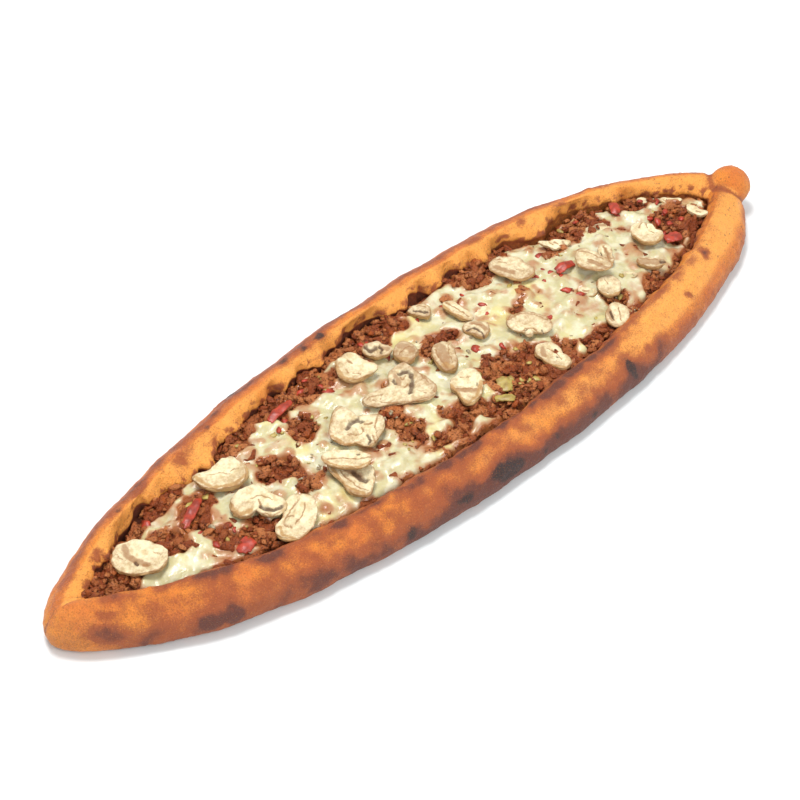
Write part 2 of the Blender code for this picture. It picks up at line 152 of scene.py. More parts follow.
@dataclass(frozen=True)
class Loaf:
    """The plan and the section of the loaf, which its dough, filling and cheese all follow."""

    crest: Oval = Oval(
        left=255 * MM, right=252 * MM, near=60 * MM, far=64 * MM,
        near_left=(2.5, 0.90), near_right=(2.2, 0.75), far_left=(1.5, 0.60), far_right=(3.2, 0.70),
    )
    outer: Oval = Oval(
        left=267 * MM, right=262 * MM, near=79.5 * MM, far=78.5 * MM,
        near_left=(2.2, 0.64), near_right=(2.4, 0.57), far_left=(1.6, 0.54), far_right=(3.2, 0.63),
    )
    lip: Oval = Oval(
        left=242 * MM, right=237 * MM, near=52 * MM, far=57 * MM,
        near_left=(2.5, 0.90), near_right=(2.2, 0.75), far_left=(1.5, 0.56), far_right=(3.3, 0.60),
    )
    base_thickness: float = 7.0 * MM
    crest_height: float = 25.0 * MM
    near_left_swell: float = 2.0 * MM
    fold_drop: float = 5.0 * MM
    fold_seam: tuple[float, float] = (5.2 * MM, 7.2 * MM)
    knob_centre: tuple[float, float, float] = (258.5 * MM, -5 * MM, 18.5 * MM)
    knob_root: tuple[float, float, float] = (249 * MM, -4.5 * MM, 16 * MM)
    knob_radius: float = 12.0 * MM
    knob_blend: float = 8.0
    # Where the far rim folds further in over the filling: (x, reach, half-width).
    flaps: tuple[tuple[float, float, float], ...] = (
        (-200 * MM, 2.0 * MM, 14 * MM),
        (-146 * MM, 8.0 * MM, 14 * MM),
        (-43 * MM, 3.5 * MM, 11 * MM),
        (24 * MM, 4.5 * MM, 12 * MM),
        (134 * MM, 9.0 * MM, 13 * MM),
        (186 * MM, 3.5 * MM, 12 * MM),
    )
    # Section from the flat base outwards, over the crest and down inside: (reach, height).
    section: tuple[tuple[float, float], ...] = (
        (0.42, 0.0 * MM), (0.78, 1.2 * MM), (0.97, 4.6 * MM), (1.00, 9.0 * MM), (0.93, 14.0 * MM),
        (0.74, 19.0 * MM), (0.42, 23.2 * MM), (0.06, 25.0 * MM), (-0.30, 24.4 * MM), (-0.68, 21.8 * MM),
        (-1.00, 17.6 * MM), (-0.80, 14.0 * MM), (-1.04, 7.0 * MM),
    )
    filling_inset: float = 1.14

    def rim_share(self, height: Array) -> Array:
        """How much of the rim's height lies below each height."""
        return ease(self.base_thickness, self.crest_height, height)

    def rim(self, turn: Array, reach: Array, height: Array) -> Array:
        """Points of the rim.

        Args:
            turn: angles round the loaf.
            reach: 1 on the outermost curve, 0 on the crest, -1 on the lip over the filling.
            height: height over the base.

        Returns:
            One row of x, y, z for each point.
        """
        crest_x, crest_y = self.crest.spread(turn)
        outer_x, outer_y = self.outer.spread(turn)
        lip_x, lip_y = self.lip.spread(turn)
        out, inside = np.clip(reach, 0, None), np.clip(-reach, 0, None)
        x = crest_x + (outer_x - crest_x) * out + (lip_x - crest_x) * inside
        y = crest_y + (outer_y - crest_y) * out + (lip_y - crest_y) * inside
        far = np.sin(turn) > 0
        fade = np.clip(2.2 * np.sin(turn) ** 2, 0, 1) * ease(0.3, 1.0, inside) * far
        y = y - fade * sum(depth * hump(x, centre, width) for centre, depth, width in self.flaps)
        near_end = ease(110 * MM, 200 * MM, -x) * ease(-8 * MM, 4 * MM, -y)
        z = height + self.near_left_swell * near_end * self.rim_share(height)
        return np.stack([x, y, z], axis=1)

    def fold_left_end(self, points: Array) -> None:
        """Lowers the far rim's end, which the near rim's end folds over."""
        end = ease(205 * MM, 250 * MM, -points[:, 0]) * ease(*self.fold_seam, points[:, 1])
        points[:, 2] -= self.fold_drop * end * self.rim_share(points[:, 2])

    def swell_knob(self, points: Array) -> None:
        """Pushes the points round the right tip out to the round knob."""
        root, centre = np.array(self.knob_root), np.array(self.knob_centre)
        offset = points - root
        reach = np.linalg.norm(offset, axis=1)
        chosen = (points[:, 2] > 0) & (reach > 0) & (reach < 45 * MM)
        offset, reach = offset[chosen], reach[chosen]
        to_centre = centre - root
        along = offset @ to_centre / reach
        to_knob = along + np.sqrt(self.knob_radius**2 - (to_centre @ to_centre - along * along))
        pushed = (reach**self.knob_blend + to_knob**self.knob_blend) ** (1 / self.knob_blend)
        points[chosen] = root + offset * (pushed / reach)[:, None]

    def from_knob(self, places: Array) -> Array:
        """Distance of each point from the middle of the knob."""
        return np.linalg.norm(places - np.array(self.knob_centre), axis=1)

    def filling_plan(self, turn: Array, across: Array) -> Array:
        """Points on the plan of the filling: across runs from 0 at the near edge to 1 at the far edge."""
        level = np.zeros(len(turn))
        near = self.rim(-turn, level - self.filling_inset, level)
        far = self.rim(turn, level - self.filling_inset, level)
        return near + (far - near) * across[:, None]

    def across(self, points: Array) -> Array:
        """Share across the filling of each point, outside 0 to 1 beyond its edges."""
        x = points[:, 0]
        tips = self.rim(np.array([0.0, math.pi]), np.full(2, -self.filling_inset), np.zeros(2))[:, 0]
        turn = np.arccos(np.clip(x / np.where(x >= 0, tips[0], -tips[1]), -1, 1))
        near = self.filling_plan(turn, np.zeros(len(x)))[:, 1]
        far = self.filling_plan(turn, np.ones(len(x)))[:, 1]
        return (points[:, 1] - near) / np.maximum(1 * MM, far - near)


LOAF = Loaf()


# ---------------------------------------------------------------- meshes


def new_mesh(name: str, create: Callable[..., object], **settings: float) -> Mesh:
    """A mesh that holds one simple shape, made by one of bmesh's create functions."""
    shape = bmesh.new()
    create(shape, **settings)
    data = bpy.data.meshes.new(name)
    shape.to_mesh(data)
    shape.free()
    return data


def new_grid(name: str, columns: int, rows: int) -> tuple[Mesh, Array, Array]:
    """A flat grid to be bent into shape.

    Args:
        name: name of the mesh.
        columns: faces along the first way.
        rows: faces along the second way.

    Returns:
        The mesh, and the share of each of its points along both ways.
    """
    data = new_mesh(name, bmesh.ops.create_grid, x_segments=columns, y_segments=rows, size=0.5)
    places = points_of(data)
    return data, places[:, 0] + 0.5, places[:, 1] + 0.5


def new_ball(name: str, subdivisions: int, count: int = 1) -> Mesh:
    """Round balls of radius 1, all in one place, joined into one mesh.

    Args:
        name: name of the mesh.
        subdivisions: how finely each ball is divided.
        count: how many balls.

    Returns:
        The mesh, ball after ball.
    """
    data = new_mesh(name + "_one", bmesh.ops.create_icosphere, subdivisions=subdivisions, radius=1.0)
    holder = bpy.data.objects.new("holder", data)
    bpy.context.scene.collection.objects.link(holder)
    row = holder.modifiers.new("row", "ARRAY")
    row.count = count
    row.use_relative_offset = False
    joined = bpy.data.meshes.new_from_object(holder.evaluated_get(bpy.context.evaluated_depsgraph_get()))
    joined.name = name
    bpy.data.objects.remove(holder)
    return joined


def points_of(data: Mesh) -> Array:
    """The mesh's points, one row each."""
    places = np.empty(len(data.vertices) * 3, np.float32)
    data.vertices.foreach_get("co", places)
    return places.reshape(-1, 3).astype(float)


def move_points(data: Mesh, places: Array) -> None:
    """Moves the mesh's points to these places."""
    data.vertices.foreach_set("co", places.astype(np.float32).ravel())
    data.update()


def normals_of(data: Mesh) -> Array:
    """The mesh's point normals, one row each."""
    found = np.empty(len(data.vertices) * 3, np.float32)
    data.vertex_normals.foreach_get("vector", found)
    return found.reshape(-1, 3).astype(float)


def mark(data: Mesh, **masks: Array) -> None:
    """Stores named masks on the mesh's points, which its finish reads."""
    for name, mask in masks.items():
        layer = data.attributes.new(name, "FLOAT", "POINT")
        layer.data.foreach_set("value", np.asarray(mask, np.float32))


def close_up(data: Mesh) -> None:
    """Joins points that lie on each other and turns the faces outwards."""
    shape = bmesh.new()
    shape.from_mesh(data)
    bmesh.ops.remove_doubles(shape, verts=shape.verts, dist=0.005 * MM)
    bmesh.ops.recalc_face_normals(shape, faces=shape.faces)
    shape.to_mesh(data)
    shape.free()


def place(data: Mesh, finish: "Finish", *nodes: str) -> Piece:
    """Puts a finished mesh into the scene.

    Args:
        data: the mesh, whose name becomes the piece's name.
        finish: what it is made of.
        nodes: the solids that it stands for.

    Returns:
        The new piece.
    """
    data.shade_smooth()
    data.materials.clear()
    data.materials.append(finish.material())
    piece = bpy.data.objects.new(data.name, data)
    bpy.context.scene.collection.objects.link(piece)
    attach(piece, "root")
    if nodes:
        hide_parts(*nodes)
    log.info("%s: %d faces", piece.name, len(data.polygons))
    return piece


# ---------------------------------------------------------------- finishes


class Slot(Enum):
    """The record's material slots."""

    DOUGH = "baked_dough"
    MEAT = "minced_meat"
    CHEESE = "melted_cheese"
    MUSHROOM = "mushroom_flesh"
    RED_PEPPER = "red_pepper"
    GREEN_PEPPER = "green_pepper"


class Group(Enum):
    """Effects that more than one finish uses."""

    GRAIN = "grain"
    SPECKS = "specks"


def group_of(kind: Group) -> bpy.types.NodeTree:
    """The shader node group of an effect, made once."""
    known = bpy.data.node_groups.get(kind.value)
    if known:
        return known
    tree = bpy.data.node_groups.new(kind.value, "ShaderNodeTree")
    tree.interface.new_socket("Place", in_out="INPUT", socket_type="NodeSocketVector")
    tree.interface.new_socket("Scale", in_out="INPUT", socket_type="NodeSocketFloat")
    tree.interface.new_socket("Value", in_out="OUTPUT", socket_type="NodeSocketFloat")
    start, end = tree.nodes.new("NodeGroupInput"), tree.nodes.new("NodeGroupOutput")
    if kind is Group.GRAIN:
        last = grain_nodes(tree, start)
    else:
        last = speck_nodes(tree, start)
    tree.links.new(last, end.inputs["Value"])
    return tree


def grain_nodes(tree: bpy.types.NodeTree, start: bpy.types.Node) -> Socket:
    """Soft uneven grain with finer grain on it."""
    coarse = tree.nodes.new("ShaderNodeTexNoise")
    coarse.inputs["Detail"].default_value = 5
    coarse.inputs["Roughness"].default_value = 0.62
    fine = tree.nodes.new("ShaderNodeTexVoronoi")
    fine.feature = "SMOOTH_F1"
    fine.inputs["Smoothness"].default_value = 0.6
    finer = tree.nodes.new("ShaderNodeMath")
    finer.operation = "MULTIPLY"
    finer.inputs[1].default_value = 1.7
    tree.links.new(start.outputs["Scale"], finer.inputs[0])
    for texture, scale in ((coarse, start.outputs["Scale"]), (fine, finer.outputs[0])):
        tree.links.new(start.outputs["Place"], texture.inputs["Vector"])
        tree.links.new(scale, texture.inputs["Scale"])
    both = tree.nodes.new("ShaderNodeMath")
    both.operation = "MULTIPLY_ADD"
    both.inputs[1].default_value = -0.35
    tree.links.new(fine.outputs["Distance"], both.inputs[0])
    tree.links.new(coarse.outputs["Fac"], both.inputs[2])
    return both.outputs[0]


def speck_nodes(tree: bpy.types.NodeTree, start: bpy.types.Node) -> Socket:
    """Scattered small specks: 1 on a speck, 0 between them."""
    cells = tree.nodes.new("ShaderNodeTexVoronoi")
    tree.links.new(start.outputs["Place"], cells.inputs["Vector"])
    tree.links.new(start.outputs["Scale"], cells.inputs["Scale"])
    split = tree.nodes.new("ShaderNodeSeparateColor")
    tree.links.new(cells.outputs["Color"], split.inputs["Color"])
    size = tree.nodes.new("ShaderNodeMapRange")
    size.inputs["From Min"].default_value = 0.72
    size.inputs["From Max"].default_value = 1.0
    size.inputs["To Max"].default_value = 0.42
    tree.links.new(split.outputs[0], size.inputs["Value"])
    inside = tree.nodes.new("ShaderNodeMath")
    inside.operation = "SUBTRACT"
    tree.links.new(size.outputs["Result"], inside.inputs[0])
    tree.links.new(cells.outputs["Distance"], inside.inputs[1])
    edge = tree.nodes.new("ShaderNodeMapRange")
    edge.inputs["From Max"].default_value = 0.12
    tree.links.new(inside.outputs[0], edge.inputs["Value"])
    return edge.outputs["Result"]


class Recipe:
    """The node tree of one material, filled in step by step."""

    def __init__(self, name: str) -> None:
        """Starts a material with this name and a plain Principled shader."""
        self.material = bpy.data.materials.new(name)
        self.material.use_nodes = True
        self.tree = self.material.node_tree
        self.shader = self.tree.nodes["Principled BSDF"]
        self.place = self.tree.nodes.new("ShaderNodeTexCoord").outputs["Object"]

    def fixed(self, **values: float | Colour) -> None:
        """Sets sockets of the shader that are the same all over; names use _ for a space."""
        for name, value in values.items():
            if isinstance(value, tuple) and len(value) == 3 and name != "Subsurface_Radius":
                value = (*value, 1.0)
            self.shader.inputs[name.replace("_", " ")].default_value = value

    def feed(self, name: str, socket: Socket) -> None:
        """Links a socket to the shader's input of this name."""
        self.tree.links.new(socket, self.shader.inputs[name])

    def mask(self, name: str) -> Socket:
        """The mask of this name stored on the piece."""
        node = self.tree.nodes.new("ShaderNodeAttribute")
        node.attribute_name = name
        return node.outputs["Fac"]

    def clouds(self, size: float, detail: float = 3.0, roughness: float = 0.55) -> Socket:
        """Soft noise from 0 to 1 with waves of this size in metres."""
        node = self.tree.nodes.new("ShaderNodeTexNoise")
        node.inputs["Scale"].default_value = 1 / size
        node.inputs["Detail"].default_value = detail
        node.inputs["Roughness"].default_value = roughness
        self.tree.links.new(self.place, node.inputs["Vector"])
        return node.outputs["Fac"]

    def effect(self, kind: Group, size: float) -> Socket:
        """A shared effect with features of this size in metres."""
        node = self.tree.nodes.new("ShaderNodeGroup")
        node.node_tree = group_of(kind)
        node.inputs["Scale"].default_value = 1 / size
        self.tree.links.new(self.place, node.inputs["Place"])
        return node.outputs["Value"]

    def sums(self, operation: str, *terms: float | Socket) -> Socket:
        """The result of a Math node on these terms."""
        node = self.tree.nodes.new("ShaderNodeMath")
        node.operation = operation
        for term, socket in zip(terms, node.inputs):
            self.give(term, socket)
        return node.outputs[0]

    def give(self, term: float | Colour | Socket, socket: Socket) -> None:
        """Sets or links an input."""
        if isinstance(term, Socket):
            self.tree.links.new(term, socket)
        elif isinstance(term, tuple):
            socket.default_value = (*term, 1.0)
        else:
            socket.default_value = term

    def step(self, value: Socket, low: float, high: float, top: float = 1.0) -> Socket:
        """A smooth rise from 0 at low to top at high."""
        node = self.tree.nodes.new("ShaderNodeMapRange")
        node.interpolation_type = "SMOOTHSTEP"
        node.inputs["From Min"].default_value = low
        node.inputs["From Max"].default_value = high
        node.inputs["To Max"].default_value = top
        self.tree.links.new(value, node.inputs["Value"])
        return node.outputs["Result"]

    def mix(
        self,
        share: float | Socket,
        first: Colour | Socket,
        second: Colour | Socket,
    ) -> Socket:
        """A colour between the first, at share 0, and the second, at share 1."""
        node = self.tree.nodes.new("ShaderNodeMix")
        node.data_type = "RGBA"
        self.give(share, node.inputs[0])
        self.give(first, node.inputs[6])
        self.give(second, node.inputs[7])
        return node.outputs[2]

    def between(self, share: Socket, low: float, high: float) -> Socket:
        """A value between low, at share 0, and high, at share 1."""
        node = self.tree.nodes.new("ShaderNodeMapRange")
        node.inputs["To Min"].default_value = low
        node.inputs["To Max"].default_value = high
        self.tree.links.new(share, node.inputs["Value"])
        return node.outputs["Result"]

    def relief(self, height: Socket, depth: float) -> None:
        """Feeds the normal from a height of this depth in metres."""
        node = self.tree.nodes.new("ShaderNodeBump")
        node.inputs["Distance"].default_value = depth
        self.tree.links.new(height, node.inputs["Height"])
        self.feed("Normal", node.outputs["Normal"])


@dataclass(frozen=True)
class Finish:
    """What a piece is made of. Each kind of food has a subclass that mixes its recipe."""

    name: str
    slot_kind: Slot

    @property
    def slot(self) -> str:
        """The name of the record's slot."""
        return self.slot_kind.value

    def material(self) -> bpy.types.Material:
        """The material, made once."""
        known = bpy.data.materials.get(self.name + "_look")
        if known:
            return known
        recipe = Recipe(self.name + "_look")
        self.mix_into(recipe)
        return recipe.material

    def mix_into(self, recipe: Recipe) -> None:
        """Fills in the recipe."""
        raise NotImplementedError


@dataclass(frozen=True)
class DoughFinish(Finish):
    """Baked dough: golden, paler where it swelled, brown and charred where the oven caught it; its masks also
    carry painted light and painted shade.
    """

    golden: Colour = (0.86, 0.285, 0.038)
    amber: Colour = (0.72, 0.196, 0.034)
    pale: Colour = (1.0, 0.42, 0.085)
    brown: Colour = (0.37, 0.085, 0.026)
    dark: Colour = (0.12, 0.036, 0.026)
    char: Colour = (0.030, 0.020, 0.020)

    def mix_into(self, recipe: Recipe) -> None:
        """Mixes the crust's colour from its masks, with fine mottling, specks and a floury relief."""
        mottle = recipe.clouds(5 * MM, 7, 0.68)
        fine = recipe.clouds(0.8 * MM, 3, 0.7)
        both = recipe.sums("ADD", mottle, fine)
        colour = recipe.mix(recipe.step(recipe.clouds(16 * MM, 5, 0.65), 0.36, 0.64), self.golden, self.amber)
        pale = recipe.sums("MULTIPLY_ADD", mottle, 0.7, recipe.mask("pale"))
        colour = recipe.mix(recipe.step(pale, 0.4, 1.2, 0.95), colour, self.pale)
        grain = recipe.sums("MULTIPLY_ADD", both, 0.62, recipe.mask("brown"))
        colour = recipe.mix(recipe.step(grain, 0.66, 1.22, 0.92), colour, self.brown)
        # Where the brown mask is strongest it turns dark; under the lip this dark is painted shade.
        colour = recipe.mix(recipe.step(grain, 1.22, 1.75, 0.92), colour, self.dark)
        scorch = recipe.sums("MULTIPLY_ADD", both, 0.7, recipe.mask("char"))
        burnt = recipe.step(scorch, 1.0, 1.5, 0.94)
        colour = recipe.mix(burnt, colour, self.char)
        colour = recipe.mix(recipe.step(fine, 0.50, 0.70, 0.5), colour, self.brown)
        colour = recipe.mix(recipe.step(fine, 0.42, 0.28, 0.3), colour, self.pale)
        specks = recipe.effect(Group.SPECKS, 2.4 * MM)
        colour = recipe.mix(recipe.sums("MULTIPLY", specks, recipe.mask("pores")), colour, self.dark)
        recipe.feed("Base Color", colour)
        recipe.feed("Roughness", recipe.between(mottle, 0.32, 0.66))
        recipe.fixed(Specular_IOR_Level=0.4)
        recipe.fixed(Subsurface_Weight=0.1, Subsurface_Radius=(1.0, 0.35, 0.1), Subsurface_Scale=2.5 * MM)
        height = recipe.sums("MULTIPLY_ADD", recipe.effect(Group.GRAIN, 1.6 * MM), 0.7, fine)
        recipe.relief(height, 1.0 * MM)


@dataclass(frozen=True)
class MeatFinish(Finish):
    """Fried minced meat: brown, grainy and a little oily, each crumb with a tone of its own."""

    brown: Colour = (0.25, 0.052, 0.012)
    dark: Colour = (0.10, 0.020, 0.006)
    light: Colour = (0.48, 0.165, 0.052)
    oil: Colour = (0.44, 0.095, 0.012)

    def mix_into(self, recipe: Recipe) -> None:
        """Mixes the meat's colour from its tone and its grain, with painted shade where the depth mask marks
        hollows and undersides.
        """
        grain = recipe.effect(Group.GRAIN, 1.5 * MM)
        colour = recipe.mix(recipe.step(recipe.mask("tone"), 0.1, 0.9), self.brown, self.light)
        colour = recipe.mix(recipe.step(grain, 0.30, 0.14, 1.0), colour, self.dark)
        # Painted shade: darker in the heap's hollows and under each lump, from the depth mask.
        colour = recipe.mix(recipe.step(recipe.mask("depth"), 0.0, 1.0, 0.85), colour, self.dark)
        colour = recipe.mix(recipe.step(recipe.clouds(9 * MM), 0.56, 0.74, 0.6), colour, self.oil)
        recipe.feed("Base Color", colour)
        recipe.feed("Roughness", recipe.between(grain, 0.22, 0.6))
        recipe.fixed(Specular_IOR_Level=0.3)
        recipe.relief(grain, 1.6 * MM)


@dataclass(frozen=True)
class CheeseFinish(Finish):
    """Melted cheese: cream where it is thick, meat showing rosy through where it is a thin film."""

    cream: Colour = (0.52, 0.465, 0.25)
    white: Colour = (0.67, 0.635, 0.455)
    yellow: Colour = (0.68, 0.56, 0.18)
    film: Colour = (0.42, 0.20, 0.09)
    edge: Colour = (0.33, 0.11, 0.035)

    def mix_into(self, recipe: Recipe) -> None:
        """Mixes the cheese's colour from how thick it is."""
        drift = recipe.clouds(9 * MM, 3)
        colour = recipe.mix(recipe.step(drift, 0.38, 0.66, 0.85), self.cream, self.white)
        colour = recipe.mix(recipe.step(recipe.clouds(26 * MM, 2), 0.54, 0.72, 0.6), colour, self.yellow)
        thick = recipe.sums("MULTIPLY_ADD", recipe.clouds(3.5 * MM, 3), 0.5, recipe.mask("thick"))
        colour = recipe.mix(recipe.step(thick, 1.05, 0.45, 0.9), colour, self.film)
        colour = recipe.mix(recipe.step(thick, 0.5, 0.15), colour, self.edge)
        recipe.feed("Base Color", colour)
        recipe.feed("Roughness", recipe.between(drift, 0.12, 0.34))
        recipe.fixed(Subsurface_Weight=0.22, Subsurface_Radius=(1.0, 0.75, 0.4), Subsurface_Scale=1.6 * MM)
        recipe.relief(recipe.clouds(2.2 * MM, 3), 0.35 * MM)


@dataclass(frozen=True)
class MushroomFinish(Finish):
    """Baked mushroom: cream flesh, tan skin, brown cut lines and dark gills."""

    flesh: Colour = (0.80, 0.70, 0.455)
    shade: Colour = (0.56, 0.43, 0.23)
    tinted: Colour = (0.38, 0.23, 0.12)
    skin: Colour = (0.46, 0.27, 0.10)
    line: Colour = (0.32, 0.155, 0.06)
    gill: Colour = (0.095, 0.048, 0.026)

    def mix_into(self, recipe: Recipe) -> None:
        """Mixes the slice's colour from its masks."""
        mottle = recipe.clouds(2.6 * MM, 6, 0.7)
        patches = recipe.step(recipe.clouds(5 * MM, 5, 0.65), 0.42, 0.66, 0.9)
        colour = recipe.mix(patches, self.flesh, self.shade)
        shades = (
            ("tan", self.tinted, 0.35), ("skin", self.skin, 0.45),
            ("line", self.line, 0.5), ("gill", self.gill, 0.5),
        )
        for name, shade, low in shades:
            amount = recipe.sums("MULTIPLY_ADD", mottle, 1.3, recipe.mask(name))
            colour = recipe.mix(recipe.step(amount, low + 0.3, low + 1.3, 0.92), colour, shade)
        recipe.feed("Base Color", colour)
        recipe.feed("Roughness", recipe.between(mottle, 0.38, 0.62))
        recipe.fixed(Specular_IOR_Level=0.2)
        recipe.fixed(Subsurface_Weight=0.12, Subsurface_Radius=(1.0, 0.7, 0.4), Subsurface_Scale=1.2 * MM)
        recipe.relief(recipe.clouds(1.1 * MM, 5, 0.6), 0.6 * MM)


@dataclass(frozen=True)
class PepperFinish(Finish):
    """Cooked pepper: glossy skin with softer, darker places."""

    bright: Colour = (0.44, 0.045, 0.018)
    deep: Colour = (0.22, 0.022, 0.009)

    def mix_into(self, recipe: Recipe) -> None:
        """Mixes the pepper's colour and its wet gloss."""
        drift = recipe.clouds(4 * MM, 4)
        recipe.feed("Base Color", recipe.mix(recipe.step(drift, 0.35, 0.7), self.bright, self.deep))
        recipe.feed("Roughness", recipe.between(drift, 0.25, 0.5))
        recipe.fixed(Subsurface_Weight=0.15, Subsurface_Radius=(1.0, 0.3, 0.15), Subsurface_Scale=1.0 * MM)
        recipe.relief(recipe.clouds(1.5 * MM), 0.25 * MM)


DOUGH = DoughFinish("baked_crust", Slot.DOUGH)
MEAT = MeatFinish("fried_mince", Slot.MEAT)
CHEESE = CheeseFinish("melted_blanket", Slot.CHEESE)
MUSHROOM = MushroomFinish("baked_mushroom", Slot.MUSHROOM)
RED_PEPPER = PepperFinish("red_pepper", Slot.RED_PEPPER)
GREEN_PEPPER = PepperFinish(
    "green_pepper", Slot.GREEN_PEPPER, bright=(0.44, 0.33, 0.08), deep=(0.26, 0.17, 0.04)
)


# ---------------------------------------------------------------- the crust


@dataclass(frozen=True)
class Spot:
    """A stain on the crust: its place along the loaf and down its rim, its half-sizes and its strength."""

    x: float
    down: float
    half_length: float
    half_width: float
    strength: float = 1.0

    def on(self, x: Array, down: Array) -> Array:
        """How strong the stain is at points at x along the loaf and this far down from the crest."""
        return self.strength * np.exp(-(self.away(x, down) ** 2.4))

    def halo(self, x: Array, down: Array) -> Array:
        """A wider, weaker stain round this one."""
        return self.strength * np.exp(-((self.away(x, down) / 1.7) ** 2))

    def away(self, x: Array, down: Array) -> Array:
        """How far off each point is: 0 in the middle of the stain and 1 at its half-sizes."""
        return np.hypot((x / MM - self.x) / self.half_length, (down / MM - self.down) / self.half_width)


def spots_of(*rows: tuple[float, ...]) -> tuple[Spot, ...]:
    """One stain for each row of its numbers."""
    return tuple(Spot(*row) for row in rows)


@dataclass
class Crust:
    """The boat of dough, with its rolled rim, scalloped inner edge, folded left end and knob."""

    columns: int = 1060
    rim_rows: int = 72
    base_rows: int = 4
    floor_rows: int = 3
    near_char: tuple[Spot, ...] = spots_of(
        (-24, 19, 9, 5.5, 1.3), (-15, 22, 5, 4, 1.2), (-54, 20, 6, 3, 1.0), (-90, 22, 3.5, 6, 0.9),
        (84, 17, 3, 7, 1.2), (46, 24, 3, 3, 0.8), (17, 20, 3, 3, 0.8), (6, 25, 3.5, 3, 0.8),
    )
    near_brown: tuple[Spot, ...] = spots_of(
        (-192, 22, 6, 4, 0.9), (-202, 23, 5, 4, 1.0), (-243, 9, 4, 3, 0.5), (-247, 18, 7, 5, 0.8),
        (-120, 0, 6, 3, 0.7), (50, -1, 5, 3, 0.9), (112, 17, 6, 5, 0.5), (188, 4, 3.5, 2.5, 0.9),
        (154, 10, 2.5, 2.5, 0.6), (102, 14, 3, 3, 0.5), (57, 21, 4, 4, 0.6), (-162, 2, 9, 3, 0.6),
        (-186, 1, 9, 3, 0.5), (-70, 12, 16, 6, 0.35), (-140, 18, 14, 6, 0.4), (20, 24, 26, 5, 0.5),
    )
    far_char: tuple[Spot, ...] = spots_of(
        (-33, 2, 5, 3, 0.9), (-46, 2, 4, 3, 0.8), (-61, 4, 5, 3, 0.75), (-125, 2, 4, 3, 0.6),
        (-197, 2, 4, 2.5, 0.6), (-8, 13, 9, 3, 0.9), (-97, 12, 7, 3, 0.8), (66, 5, 3, 3, 0.6),
        (-87, 5, 3, 2, 0.6),
    )
    blisters: tuple[Spot, ...] = spots_of(
        (-69, -3, 2.2, 2.0), (-72, 5, 4, 3), (-146, 19, 2.5, 2), (30, 4, 3, 2.5), (150, 3, 4, 3),
        (-180, 9, 5, 4, 0.7), (-30, 8, 6, 4, 0.6), (96, 6, 5, 3, 0.6),
    )
    far_brown: tuple[Spot, ...] = spots_of(
        (-181, 1, 6, 4, 0.6), (-223, -5, 4, 3, 0.6), (94, 2, 6, 3, 0.5), (127, -2, 5, 3, 0.5),
        (157, -2, 6, 3, 0.5), (-150, -3, 7, 4, 0.5), (-240, 4, 8, 5, 0.3),
    )
    knob_neck: float = 15.5 * MM
    rim_widths: tuple[float, float] = (17 * MM, 7 * MM)

    def section(self) -> tuple[Array, Array, Array, Array]:
        """Reach, height, share of the way in to the spine, and way down from the crest, row by row."""
        corners = np.array(LOAF.section)
        widths = np.where(corners[:, 0] >= 0, *self.rim_widths)
        across = corners[:, 0] * widths
        way = np.concatenate([[0], np.cumsum(np.hypot(np.diff(across), np.diff(corners[:, 1])))])
        fine = np.linspace(0, way[-1], 400)
        reach, height = (np.interp(fine, way, corners[:, side]) for side in (0, 1))
        soft = np.hanning(41) / np.hanning(41).sum()
        padded = [np.pad(side, len(soft) // 2, mode="edge") for side in (reach, height)]
        reach, height = (np.convolve(side, soft, mode="valid") for side in padded)
        rows = np.linspace(0, way[-1], self.rim_rows)
        reach, height = np.interp(rows, fine, reach), np.interp(rows, fine, height)
        crest = rows[np.argmax(height)]
        base, floor = self.base_rows, self.floor_rows
        outwards, inwards = np.linspace(1, 0, base + 1)[:-1], np.linspace(0, 1, floor + 1)[1:]
        spine = np.concatenate([outwards, np.zeros(len(rows)), inwards])
        pad = ((base, floor),)
        return (
            np.pad(reach, pad, mode="edge"),
            np.concatenate([np.zeros(base), height, np.full(floor, height[-1])]),
            spine,
            np.pad(crest - rows, pad, mode="edge"),
        )

    def build(self) -> Piece:
        """Bends the grid into the loaf, gives it its relief and stains, and dresses it."""
        reach, height, spine, down = self.section()
        data, around, up = new_grid("baked_crust", self.columns, len(reach) - 1)
        turn = 2 * math.pi * around - 0.3 * np.sin(4 * math.pi * around) / 2
        row = np.rint(up * (len(reach) - 1)).astype(int)
        reach, height, spine, down = (line[row] for line in (reach, height, spine, down))
        places = LOAF.rim(turn, reach, height)
        self.scallop(places, turn, reach)
        middle_y = LOAF.crest.spine(turn)[1]
        places[:, 1] += (middle_y - places[:, 1]) * spine
        LOAF.fold_left_end(places)
        LOAF.swell_knob(places)
        move_points(data, places)
        far = np.sin(turn) >= 0
        mark(data, **self.stains(places, far, down, spine))
        close_up(data)
        self.add_relief(data)
        return place(data, DOUGH, "crust")

    def scallop(self, places: Array, turn: Array, reach: Array) -> None:
        """Makes the edge over the filling wander in and out, and up and down on the far side."""
        inside = ease(0.15, 1.0, -reach) * np.clip(6 * np.sin(turn) ** 2, 0, 1)
        far = np.sin(turn) >= 0
        line = np.stack([places[:, 0], np.where(far, 1.0, -1.0), np.zeros(len(turn))], axis=1)
        wander = 5.0 * MM * waves(line, 26 * MM, 1) + 7.6 * MM * waves(line, 10 * MM, 2)
        wander = np.maximum(wander + 3.0 * MM * waves(line, 4.6 * MM, 3), -3.4 * MM)
        places[:, 1] -= inside * np.where(far, wander, 0.3 * wander)
        places[:, 2] += inside * np.where(far, 4.6, 0.8) * MM * waves(line, 9 * MM, 4)

